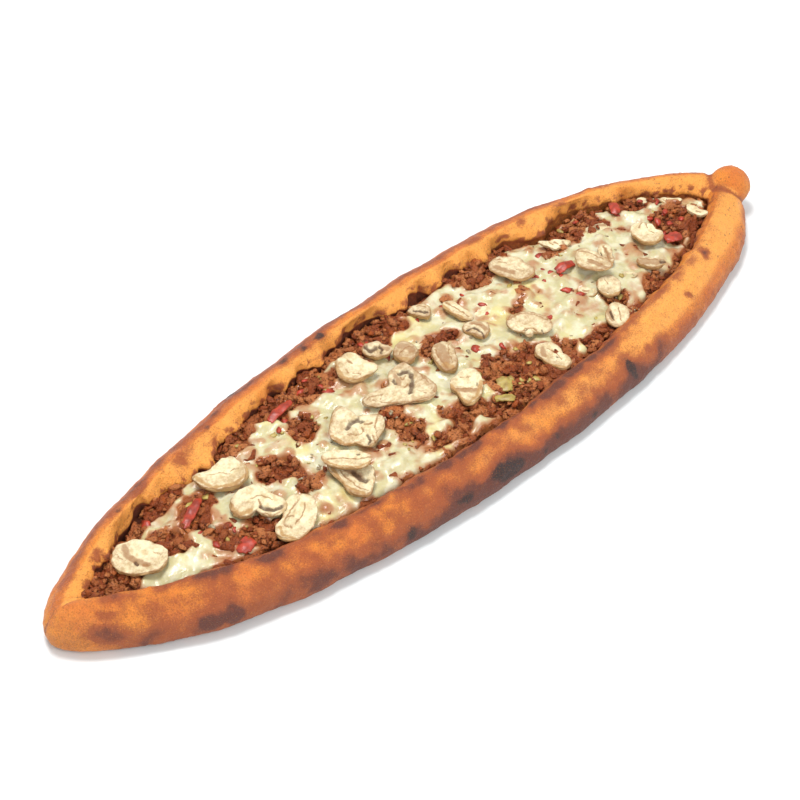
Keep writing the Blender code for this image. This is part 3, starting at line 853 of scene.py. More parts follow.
    def add_relief(self, data: Mesh) -> None:
        """Moves the points along their normals: broad lumps, dimples and small blisters."""
        places, normals = points_of(data), normals_of(data)
        raised = ease(0.4 * MM, 4 * MM, places[:, 2])
        depth = 2.0 * MM * waves(places, 38 * MM, 4) + 0.5 * MM * rough(places, 13 * MM, 3, 5)
        depth += 0.26 * MM * rough(places, 3.2 * MM, 3, 9)
        depth += 0.5 * MM * ease(0.45, 0.8, waves(places, 6 * MM, 12))
        depth -= 1.1 * MM * hump(LOAF.from_knob(places), self.knob_neck, 2.2 * MM)
        blisters = np.empty(len(places), np.float32)
        data.attributes["blister"].data.foreach_get("value", blisters)
        depth += 0.6 * MM * blisters
        places += normals * (depth * raised)[:, None]
        places[:, 2] = np.maximum(places[:, 2], 0)
        move_points(data, places)

    def stains(self, places: Array, far: Array, down: Array, spine: Array) -> dict[str, Array]:
        """How pale, brown, charred, pored and blistered the crust is at each point, with painted light and
        painted shade included.

        Args:
            places: one row of x, y, z for each point.
            far: whether each point lies on the far side.
            down: way down from the crest over the outside, below 0 on the inside.
            spine: share of the way in to the middle line.

        Returns:
            The masks that the finish reads, by name.
        """
        x = places[:, 0]
        patch = rough(places, 30 * MM, 3, 20)
        fleck = rough(places, 9 * MM, 2, 24)
        line_down = down + 1.2 * MM * waves(places * np.array([1, 0, 0]), 12 * MM, 27)
        inner = ease(1 * MM, 7 * MM, -line_down)
        low = ease(10 * MM, 26 * MM, down)
        right_end = ease(140 * MM, 215 * MM, x)
        light_end = ease(65 * MM, 140 * MM, x)
        # Darker lines along the crest and the lip, toasting low on the sides, and blotches all over.
        near_line = (0.45 + 0.4 * ease(-150 * MM, -60 * MM, x)) * hump(line_down, -1.5 * MM, 3.4 * MM)
        near_line *= 1 - 0.75 * np.maximum(right_end, 0.6 * light_end)
        far_line = 0.7 * hump(line_down, 7.5 * MM, 4.2 * MM) * (1 - 0.4 * right_end)
        brown = np.where(far, far_line, near_line) * (0.8 + 0.6 * fleck)
        toasted = 0.48 + 0.55 * ease(-150 * MM, -40 * MM, x) * ease(180 * MM, 90 * MM, x)
        brown += toasted * low * (0.75 + 0.2 * patch)
        blotch = 0.3 + 0.2 * ease(-0.1, 0.75, patch) + 0.3 * fleck
        brown += np.where(far, 0.4, 1 - 0.7 * light_end) * blotch
        lip_line = hump(line_down, -9 * MM, 3 * MM) * ease(-0.1, 0.5, rough(places, 6 * MM, 3, 28))
        brown = brown * (1 - 0.8 * inner * far) + 0.85 * lip_line
        # A pale left tip, a golden shoulder on the near side and a golden wall on the far side. The
        # shoulder's paleness is partly painted light on the top of the rim, where it faces the lamps.
        tip = ease(225 * MM, 255 * MM, -x)
        brown *= 1 - 0.65 * tip
        # Golden dough colour and painted light together on the upward-facing shoulder of the near rim.
        golden_and_lit_shoulder = hump(down, 8 * MM, 7 * MM) * ease(-110 * MM, 40 * MM, x)
        top = ease(17 * MM, 5 * MM, down)
        gold = ease(-2.5 * MM, 3 * MM, -line_down)
        pale = np.where(far, 1.35 * gold - 0.2, 0.8 * golden_and_lit_shoulder) * (0.85 + 0.6 * patch)
        pale = pale + np.where(far, 0.3, 0.8) * light_end * top * (down > -3 * MM) + 0.25 * tip
        # The foot of the wall under the lip: painted shade, browner and less pale where the lip overhangs the
        # filling.
        wall = ease(10.5 * MM, 13 * MM, -down) * (1 - 0.6 * light_end)
        brown, pale = brown + 0.95 * wall, pale * (1 - wall)
        # Separate stains, whose outlines wander.
        sway_x = x + 2.2 * MM * rough(places, 5 * MM, 2, 33)
        sway_down = down + 1.8 * MM * rough(places, 5 * MM, 2, 36)
        char = np.zeros(len(x))
        blister = np.zeros(len(x))
        for spots, side in ((self.near_char, ~far), (self.far_char, far)):
            for spot in spots:
                char += np.where(side, spot.on(sway_x, sway_down), 0)
                brown += np.where(side, 0.4 * spot.halo(sway_x, sway_down), 0)
        for spots, side in ((self.near_brown, ~far), (self.far_brown, far)):
            for spot in spots:
                brown += np.where(side, spot.on(sway_x, sway_down), 0)
        for spot in self.blisters:
            blister += np.where(far, 0, spot.on(x, down))
        # The pinched neck of the knob, darkened in its crease as painted shade, the knob itself, and the seam
        # of the fold at the left end, darkened along the crease as painted shade.
        brown += 0.5 * hump(LOAF.from_knob(places), self.knob_neck, 2.4 * MM)
        knob = ease(15 * MM, 11 * MM, LOAF.from_knob(places))
        brown, pale = brown * (1 - 0.8 * knob), pale * (1 - knob) - 0.3 * knob
        seam = hump(places[:, 1], 6.5 * MM, 1.3 * MM) * ease(218 * MM, 232 * MM, -x)
        brown += 0.55 * seam * (places[:, 2] > 10 * MM)
        under = np.maximum(spine, ease(33 * MM, 40 * MM, down))
        return {
            "pale": (pale + 0.4 * blister) * (1 - under),
            "brown": np.maximum(brown, 0.6 * under),
            "char": char,
            "pores": 0.12 + 0.35 * right_end,
            "blister": blister,
        }


# ---------------------------------------------------------------- the filling


@dataclass(frozen=True)
class BarePatch:
    """A place without cheese: its middle, its half-sizes and its turn in degrees, in millimetres."""

    x: float
    y: float
    half_length: float
    half_width: float
    turn: float

    def beyond(self, places: Array) -> Array:
        """How far outside the patch each point lies, in millimetres, below 0 inside."""
        away_x, away_y = places[:, 0] / MM - self.x, places[:, 1] / MM - self.y
        along, beside = turned(away_x, away_y, -math.radians(self.turn))
        apart = np.hypot(along / self.half_length, beside / self.half_width) - 1
        return apart * min(self.half_length, self.half_width)


BARE_PATCHES = tuple(
    BarePatch(*row)
    for row in (
        (-224, 14, 22, 20, 0), (-182, 34, 26, 10, 12), (-168, 12, 15, 6, 30), (-189, 4, 9, 6, -40),
        (-166, -12, 10, 6, -60), (-153, -23, 12, 9, 10), (-125, 39, 16, 10, 0), (-88, 44, 26, 8, 0),
        (-85, 16, 8, 6, 0), (-114, 4, 12, 8, -70), (-109, -13, 6, 5, 0), (-60, 42, 18, 8, 0),
        (-6, 48, 32, 10, 0), (-45, -17, 8, 14, 30), (-2, -38, 17, 8, -20), (36, -32, 26, 17, -15),
        (69, -37, 6, 8, 0), (78, 46, 26, 8, 0), (149, 32, 27, 9, 5), (196, 31, 18, 9, -15),
        (207, -7, 18, 17, 0), (163, -36, 26, 7, 8), (92, -47, 20, 8, 0), (122, -28, 7, 4, 20),
        (20, 18, 8, 4, 10), (-30, -38, 9, 4, 0), (70, 8, 9, 3, 30),
    )
)


@dataclass(frozen=True)
class MeatSize:
    """One size of loose meat: how close the lumps lie, how large they are and how many places they fill.

    The bare shares are for bare meat, layer by layer. The covered share is for places under the cheese.
    """

    name: str
    spacing: float
    half_widths: tuple[float, float]
    subdivisions: int
    bare_shares: tuple[float, ...]
    covered_share: float
    covered_growth: float = 1.0
    unevenness: float = 0.5


@dataclass(frozen=True)
class Lumps:
    """Loose lumps of one size: the middle of each, its half-sizes and its turn, one row a lump."""

    kind: MeatSize
    middles: Array
    sizes: Array
    turns: Array


CHUNKS = MeatSize("meat_chunks", 8.0 * MM, (3.4 * MM, 6.8 * MM), 3, (0.95,), 0.0, unevenness=0.8)
CRUMBS = MeatSize(
    "meat_crumbs", 4.6 * MM, (1.0 * MM, 3.0 * MM), 2, (1.0, 0.7, 0.3), 0.44,
    covered_growth=1.7, unevenness=0.68,
)


@dataclass
class Filling:
    """The heap of minced meat and the blanket of melted cheese on it, worked out over one map of heights."""

    seed: int = 7
    cell: float = 0.8 * MM
    crown: float = 3.6 * MM
    edge_height: float = 14.6 * MM
    end_drop: float = 3.0 * MM
    half_length: float = 238 * MM
    body_below: float = 1.0 * MM
    layer_rise: float = 1.7 * MM
    row_step: float = 0.87
    shake: float = 0.45
    shore_width: float = 6.5
    full_thickness: float = 2.2 * MM
    heap_faces: tuple[int, int] = (420, 110)
    cheese_faces: tuple[int, int] = (620, 150)

    def __post_init__(self) -> None:
        """Scatters the loose meat and works out the maps of meat and cheese."""
        self.luck = np.random.default_rng(self.seed)
        self.xs = np.arange(-252 * MM, 246 * MM, self.cell)
        self.ys = np.arange(-64 * MM, 66 * MM, self.cell)
        grid = np.meshgrid(self.xs, self.ys, indexing="ij")
        self.cells = np.stack([grid[0].ravel(), grid[1].ravel(), np.zeros(grid[0].size)], axis=1)
        self.shape = grid[0].shape
        across = LOAF.across(self.cells)
        self.heap = self.heap_height(self.cells, across).reshape(self.shape)
        self.share = self.cheese_share(self.cells).reshape(self.shape)
        self.lumps = [self.scatter(kind) for kind in (CHUNKS, CRUMBS)]
        self.meat = self.meat_map()
        self.cheese = self.cheese_map(across.reshape(self.shape))

    def heap_height(self, places: Array, across: Array) -> Array:
        """Height of the heap without its loose meat."""
        crown = np.clip(1 - (2 * across - 1) ** 2, 0, None) ** 0.6
        drop = self.end_drop * ease(170 * MM, 240 * MM, np.abs(places[:, 0]))
        flat = places * np.array([1, 1, 0])
        return self.edge_height + self.crown * crown - drop + 0.8 * MM * waves(flat, 38 * MM)

    def cheese_share(self, places: Array) -> Array:
        """How much cheese lies at each point: below 0 is bare, 1 is the full blanket."""
        flat = places * np.array([1, 1, 0])
        share = np.ones(len(places))
        for patch in BARE_PATCHES:
            share = np.minimum(share, patch.beyond(places) / self.shore_width)
        for size, height, seed in ((15, 1.0, 30), (6.5, 0.75, 31), (3, 0.25, 32)):
            share = share + height * waves(flat, size * MM, seed)
        return share

    def at(self, field: Array, x: Array, y: Array) -> Array:
        """Reads a map between its cells."""
        column = np.clip((x - self.xs[0]) / self.cell, 0, self.shape[0] - 1.001)
        row = np.clip((y - self.ys[0]) / self.cell, 0, self.shape[1] - 1.001)
        left, low = column.astype(int), row.astype(int)
        right_share, up_share = column - left, row - low
        lower = field[left, low] * (1 - right_share) + field[left + 1, low] * right_share
        upper = field[left, low + 1] * (1 - right_share) + field[left + 1, low + 1] * right_share
        return lower * (1 - up_share) + upper * up_share

    def scatter(self, kind: MeatSize) -> Lumps:
        """Places the lumps of one size on a shaken grid, in layers where the meat is bare."""
        middles, sizes = [], []
        step = kind.spacing
        for layer, bare_share in enumerate(kind.bare_shares):
            columns = np.arange(self.xs[0], self.xs[-1], step)
            rows = np.arange(self.ys[0], self.ys[-1], step * self.row_step)
            grid = np.meshgrid(columns, rows, indexing="ij")
            x = (grid[0] + (np.arange(len(rows)) + layer) % 2 * step / 2).ravel()
            y = grid[1].ravel()
            x, y = (side + self.luck.uniform(-self.shake, self.shake, len(x)) * step for side in (x, y))
            across = LOAF.across(np.stack([x, y, 0 * x], axis=1))
            covered = self.at(self.share, x, y) > 0.25
            wanted = np.where(covered, kind.covered_share * (layer == 0), bare_share)
            inside = (across > -0.01) & (across < 1.02) & (np.abs(x) < self.half_length)
            kept = inside & (self.luck.random(len(x)) < wanted)
            x, y, covered = x[kept], y[kept], covered[kept]
            low, high = kind.half_widths
            width = low + (high - low) * self.luck.random(len(x)) ** 1.6
            width *= np.where(covered, kind.covered_growth, 1)
            size = width[:, None] * self.luck.uniform((1.0, 0.62, 0.55), (1.45, 0.95, 0.85), (len(x), 3))
            rise = layer * self.layer_rise + self.luck.uniform(-0.9, 0.4, len(x)) * MM - 0.25 * size[:, 2]
            middles.append(np.stack([x, y, self.at(self.heap, x, y) + rise], axis=1))
            sizes.append(size)
        middles, sizes = np.concatenate(middles), np.concatenate(sizes)
        return Lumps(kind, middles, sizes, self.luck.uniform(0, math.pi, len(middles)))

    def meat_map(self) -> Array:
        """Height of the meat over each cell, with its loose lumps."""
        meat = self.heap - self.body_below
        for lumps in self.lumps:
            for middle, size in zip(lumps.middles, lumps.sizes):
                half_width = (size[0] + size[1]) / 2
                reach = int(half_width / self.cell) + 1
                column = int((middle[0] - self.xs[0]) / self.cell)
                row = int((middle[1] - self.ys[0]) / self.cell)
                columns = slice(max(0, column - reach), column + reach + 2)
                rows = slice(max(0, row - reach), row + reach + 2)
                away = (self.xs[columns, None] - middle[0]) ** 2 + (self.ys[None, rows] - middle[1]) ** 2
                dome = middle[2] + size[2] * np.sqrt(np.clip(1 - away / half_width**2, 0, None))
                dome = np.where(away < half_width**2, dome, 0)
                meat[columns, rows] = np.maximum(meat[columns, rows], dome)
        return meat

    def cheese_map(self, across: Array) -> Array:
        """Height of the cheese over each cell: a soft blanket that clings to the lumps under it."""

        def ripple(size: float, height: float, seed: float) -> Array:
            """Waves over the cells, with their size and height in millimetres."""
            return (height * MM * waves(self.cells, size * MM, seed)).reshape(self.shape)

        level = self.heap + 0.5 * MM + ripple(24, 2.4, 40) + ripple(10, 1.7, 41)
        cling = blur(self.meat, 1.5) + 1.25 * MM + ripple(14, 1.7, 42)
        soft = 0.4 * MM
        blanket = np.logaddexp(level / soft, cling / soft) * soft + ripple(5, 0.55, 43)
        shore = ease(-0.2, 0.7, self.share)
        sunk = (1 - np.sqrt(1 - (1 - shore) ** 2)) * 4.2 * MM
        edge = 5 * MM * (1 - ease(-0.02, 0.05, across) * ease(-0.02, 0.05, 1 - across))
        return blur(blanket - sunk, 0.9) - edge

    def surface(self, x: Array, y: Array) -> Array:
        """Height of whatever lies on top at each point."""
        return np.maximum(self.at(self.meat, x, y), self.at(self.cheese, x, y))

    def build_heap(self) -> Piece:
        """The heap's own body under the loose meat, finely lumpy."""
        data, along, across = new_grid("meat_heap", *self.heap_faces)
        turn = math.pi * (0.012 + 0.976 * along)
        places = LOAF.filling_plan(turn, across)
        x, y = places[:, 0], places[:, 1]
        heap = self.at(self.heap, x, y) - self.body_below
        grain = 0.9 * MM * rough(places, 4.5 * MM, 3, 50)
        rim = ease(0, 0.04, across) * ease(0, 0.04, 1 - across)
        places[:, 2] = heap + grain - 0.8 * MM * (1 - rim)
        move_points(data, places)
        # The depth mask is painted shade: the heap darker than the lumps on it, and darker in its hollows.
        mark(data, tone=0.25 + 0.3 * waves(places, 9 * MM, 51), depth=0.6 - 0.3 * grain / MM)
        turn_up(data)
        return place(data, MEAT, "meat_filling")

    def build_lumps(self) -> None:
        """The loose meat, each lump rough and uneven in its own way."""
        for lumps in self.lumps:
            count = len(lumps.middles)
            data = new_ball(lumps.kind.name, lumps.kind.subdivisions, count)
            ball = points_of(data)
            each = len(ball) // count
            middles, sizes = np.repeat(lumps.middles, each, axis=0), np.repeat(lumps.sizes, each, axis=0)
            turns = np.repeat(lumps.turns, each)
            own = ball + np.repeat(self.luck.uniform(0, 50, (count, 3)), each, axis=0)
            uneven = 1 + lumps.kind.unevenness * (rough(own, 0.95, 3, 60) - 0.5 * np.abs(waves(own, 0.7, 61)))
            uneven += self.luck.normal(0, 0.07, len(ball))
            local = ball * sizes * uneven[:, None]
            x, y = turned(local[:, 0], local[:, 1], turns)
            places = middles + np.stack([x, y, local[:, 2]], axis=1)
            move_points(data, places)
            blotch = waves(middles, 16 * MM, 62)
            tone = np.repeat(self.luck.uniform(-0.1, 0.95, count), each) + 0.5 * blotch
            # The depth mask is painted shade, darker on each lump's underside.
            mark(data, tone=tone, depth=0.6 * ease(0.2, -0.9, ball[:, 2]))
            place(data, MEAT)

    def build_cheese(self) -> Piece:
        """The melted blanket."""
        data, along, across = new_grid("cheese_blanket", *self.cheese_faces)
        turn = math.pi * (0.03 + 0.94 * along)
        places = LOAF.filling_plan(turn, across)
        x, y = places[:, 0], places[:, 1]
        top = self.at(self.cheese, x, y)
        over = top - self.at(self.meat, x, y)
        seen = self.at(blur(self.cheese - self.meat, 1.2), x, y)
        places[:, 2] = top
        move_points(data, places)
        mark(data, thick=np.clip(seen / self.full_thickness, -1, 1))
        sink = over < -self.full_thickness
        shape = bmesh.new()
        shape.from_mesh(data)
        shape.verts.ensure_lookup_table()
        hidden = [face for face in shape.faces if all(sink[vertex.index] for vertex in face.verts)]
        bmesh.ops.delete(shape, geom=hidden, context="FACES")
        shape.to_mesh(data)
        shape.free()
        turn_up(data)
        return place(data, CHEESE, "melted_cheese")


def turn_up(data: Mesh) -> None:
    """Turns an open sheet's faces to look up."""
    if sum(polygon.normal.z for polygon in data.polygons[:200]) < 0:
        data.flip_normals()


# ---------------------------------------------------------------- toppings


class Mark(Enum):
    """What a stroke on a slice shows, and how far it raises the surface there, in millimetres."""

    SKIN = ("skin", 0.0)
    TAN = ("tan", 0.1)
    LINE = ("line", -0.35)
    GILL = ("gill", -0.8)
    STEM = ("stem", 1.1)


@dataclass(frozen=True)
class Stroke:
    """A mark along a bent line on a slice, in millimetres from its middle."""

    kind: Mark
    half_width: float
    way: tuple[tuple[float, float], ...]

    def on(self, places: Array) -> Array:
        """1 on the stroke and 0 away from it, with a soft edge."""
        nearest = np.full(len(places), np.inf)
        for start, end in zip(self.way, self.way[1:] or self.way):
            first = np.array(start)
            step = np.array(end) - first
            share = np.clip((places - first) @ step / max(step @ step, 1e-9), 0, 1)
            nearest = np.minimum(nearest, np.linalg.norm(places - first - share[:, None] * step, axis=1))
        return ease(1.6 * self.half_width, 0.4 * self.half_width, nearest)


def skin(half_width: float, *way: tuple[float, float]) -> Stroke:
    """Brown skin."""
    return Stroke(Mark.SKIN, half_width, way)


def tan(half_width: float, *way: tuple[float, float]) -> Stroke:
    """A tanned place on the flesh."""
    return Stroke(Mark.TAN, half_width, way)


def line(half_width: float, *way: tuple[float, float]) -> Stroke:
    """A brown crease."""
    return Stroke(Mark.LINE, half_width, way)


def gill(half_width: float, *way: tuple[float, float]) -> Stroke:
    """Dark gills."""
    return Stroke(Mark.GILL, half_width, way)


def stem(half_width: float, *way: tuple[float, float]) -> Stroke:
    """A raised stem."""
    return Stroke(Mark.STEM, half_width, way)


@dataclass(frozen=True)
class Slice:
    """One mushroom slice.

    Its outline is the distance from its middle in even steps round it, in millimetres. It lies where
    its solid lies, or at a spot of its own on top of the filling.
    """

    name: str
    outline: tuple[float, ...]
    strokes: tuple[Stroke, ...] = ()
    thickness: float = 4.2
    rise: float = 0.0
    slope: tuple[float, float] = (0.0, 0.04)
    bend: float = 1.9
    tint: float = 0.0
    skin_arc: tuple[float, float] = (175.0, 365.0)
    spot: tuple[float, float] | None = None
    turn: float = -43.4

    def reach(self, angle: Array) -> Array:
        """Distance of the outline from the middle in each direction, in millimetres."""
        steps = len(self.outline)
        position = angle / (2 * math.pi) % 1 * steps
        index = position.astype(int) % steps
        share = position - position.astype(int)
        known = np.array(self.outline)
        before, here, after, beyond = (known[(index + step) % steps] for step in (-1, 0, 1, 2))
        cubic = 3 * (here - after) + beyond - before
        square = 2 * before - 5 * here + 4 * after - beyond
        return here + 0.5 * share * (after - before + share * (square + share * cubic))

    def build(self, filling: Filling) -> Piece:
        """Shapes the slice from a round cushion and lays it down."""
        node = self.spot is None
        name = self.name + "_slice" if node else self.name
        data = new_mesh(name, bmesh.ops.create_uvsphere, u_segments=120, v_segments=52, radius=1.0)
        ball = points_of(data)
        angle = np.arctan2(ball[:, 1], ball[:, 0])
        fall = np.arccos(np.clip(ball[:, 2], -1, 1)) / math.pi
        stops = (0, 0.38, 0.43, 0.47, 0.5, 0.53, 0.57, 0.62, 1)
        out = np.interp(fall, stops, (0, 0.94, 0.985, 1, 1, 0.98, 0.93, 0.85, 0))
        side = np.interp(fall, stops, (1, 1, 0.84, 0.5, 0, -0.5, -0.84, -1, -1))
        # A ragged edge, and the strokes on the upper side.
        seed = sum(map(ord, self.name))
        ring = np.stack([np.cos(angle), np.sin(angle), 0.6 * side], axis=1)
        ragged = 1 + 0.09 * waves(ring, 0.6, seed) + 0.05 * waves(ring, 0.22, seed)
        away = out * self.reach(angle) * ragged
        flat = np.stack([away * np.cos(angle), away * np.sin(angle)], axis=1)
        marks = {kind.value[0]: np.zeros(len(flat)) for kind in Mark}
        lift = np.zeros(len(flat))
        plane = np.stack([flat[:, 0], flat[:, 1], 0 * away], axis=1)
        sway = np.stack([waves(plane, 2.4, seed + 5), waves(plane, 2.4, seed + 6)], axis=1)
        for stroke in self.strokes:
            strength = stroke.on(flat + 0.7 * sway) * (side > -0.3)
            name, height = stroke.kind.value
            marks[name] = np.maximum(marks[name], strength)
            lift += height * strength * (side > 0.3)
        # Thickness, bend, waves and slope.
        size = max(self.outline)
        height = side * self.thickness * 0.31 + lift - 0.4 + self.bend * ((away / size) ** 2 - 0.4)
        height += 0.8 * waves(plane, 8, seed) + 0.4 * rough(plane, 3.4, 2, seed + 1) * (side > 0)
        height += flat[:, 0] * self.slope[0] + flat[:, 1] * self.slope[1]
        middle = self.middle(filling)
        x, y = turned(flat[:, 0], flat[:, 1], math.radians(self.turn))
        placed = np.stack([x, y, height + self.rise], axis=1) * MM
        move_points(data, placed + np.array(middle))
        # Skin and a brown edge, strongest round the cap.
        wall = ease(0.95, 0.6, side)
        start, end = self.skin_arc
        off = np.abs((np.degrees(angle) - (start + end) / 2 + 180) % 360 - 180)
        cap_side = ease((end - start) / 2 + 14, (end - start) / 2 - 14, off)
        marks["skin"] = np.maximum(marks["skin"], wall * (0.6 + 0.4 * cap_side))
        marks["line"] = np.maximum(marks["line"], hump(side, 0.86, 0.17) * (0.5 + 0.5 * cap_side))
        marks["tan"] = np.maximum(marks["tan"], self.tint + 0.35 * ease(0.7, 1.0, out))
        del marks["stem"]
        mark(data, **marks)
        return place(data, MUSHROOM, *((self.name,) if node else ()))

    def middle(self, filling: Filling) -> Vector:
        """The middle of the slice."""
        if self.spot is None:
            low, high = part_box(self.name)
            middle = (low + high) / 2
            middle.z = low.z + (high.z - low.z) * 0.45
            return middle
        x, y = (value * MM for value in self.spot)
        ring = np.linspace(0, 2 * math.pi, 12)
        top = filling.surface(x + 4 * MM * np.cos(ring), y + 4 * MM * np.sin(ring)).mean()
        return Vector((x, y, float(top)))


@dataclass(frozen=True)
class PepperStrip:
    """One cut piece of pepper: a short arched strip in the place of its solid."""

    node: str
    length: float
    width: float
    turn: float
    finish: Finish

    def build(self) -> Piece:
        """Shapes the strip and lays it where its solid lies."""
        low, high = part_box(self.node)
        middle = (low + high) / 2
        data, along, across = new_grid(self.node + "_strip", 24, 10)
        u, v = 2 * along - 1, 2 * across - 1
        ragged = 1 + 0.18 * waves(np.stack([3 * u, 2 * v, 0 * u], axis=1), 1.0, self.length)
        length, width = self.length / 2 * ragged, self.width / 2 * ragged
        plan = [u * (1 - 0.16 * v * v) * length, v * (1 - 0.25 * u * u) * width, 0 * u]
        local = np.stack(plan, axis=1) * MM
        local[:, 2] = 1.2 * MM * (1 - u * u) + 0.9 * MM * waves(local, 5 * MM, self.length) - 0.7 * MM * v * v
        x, y = turned(local[:, 0], local[:, 1], math.radians(self.turn))
        move_points(data, np.stack([middle.x + x, middle.y + y, low.z + 1.0 * MM + local[:, 2]], axis=1))
        turn_up(data)
        piece = place(data, self.finish, self.node)
        wall = piece.modifiers.new("wall", "SOLIDIFY")
        wall.thickness = 1.5 * MM
        wall.offset = -0.6
        soft = piece.modifiers.new("soft_edges", "SUBSURF")
        soft.levels = soft.render_levels = 1
        return piece


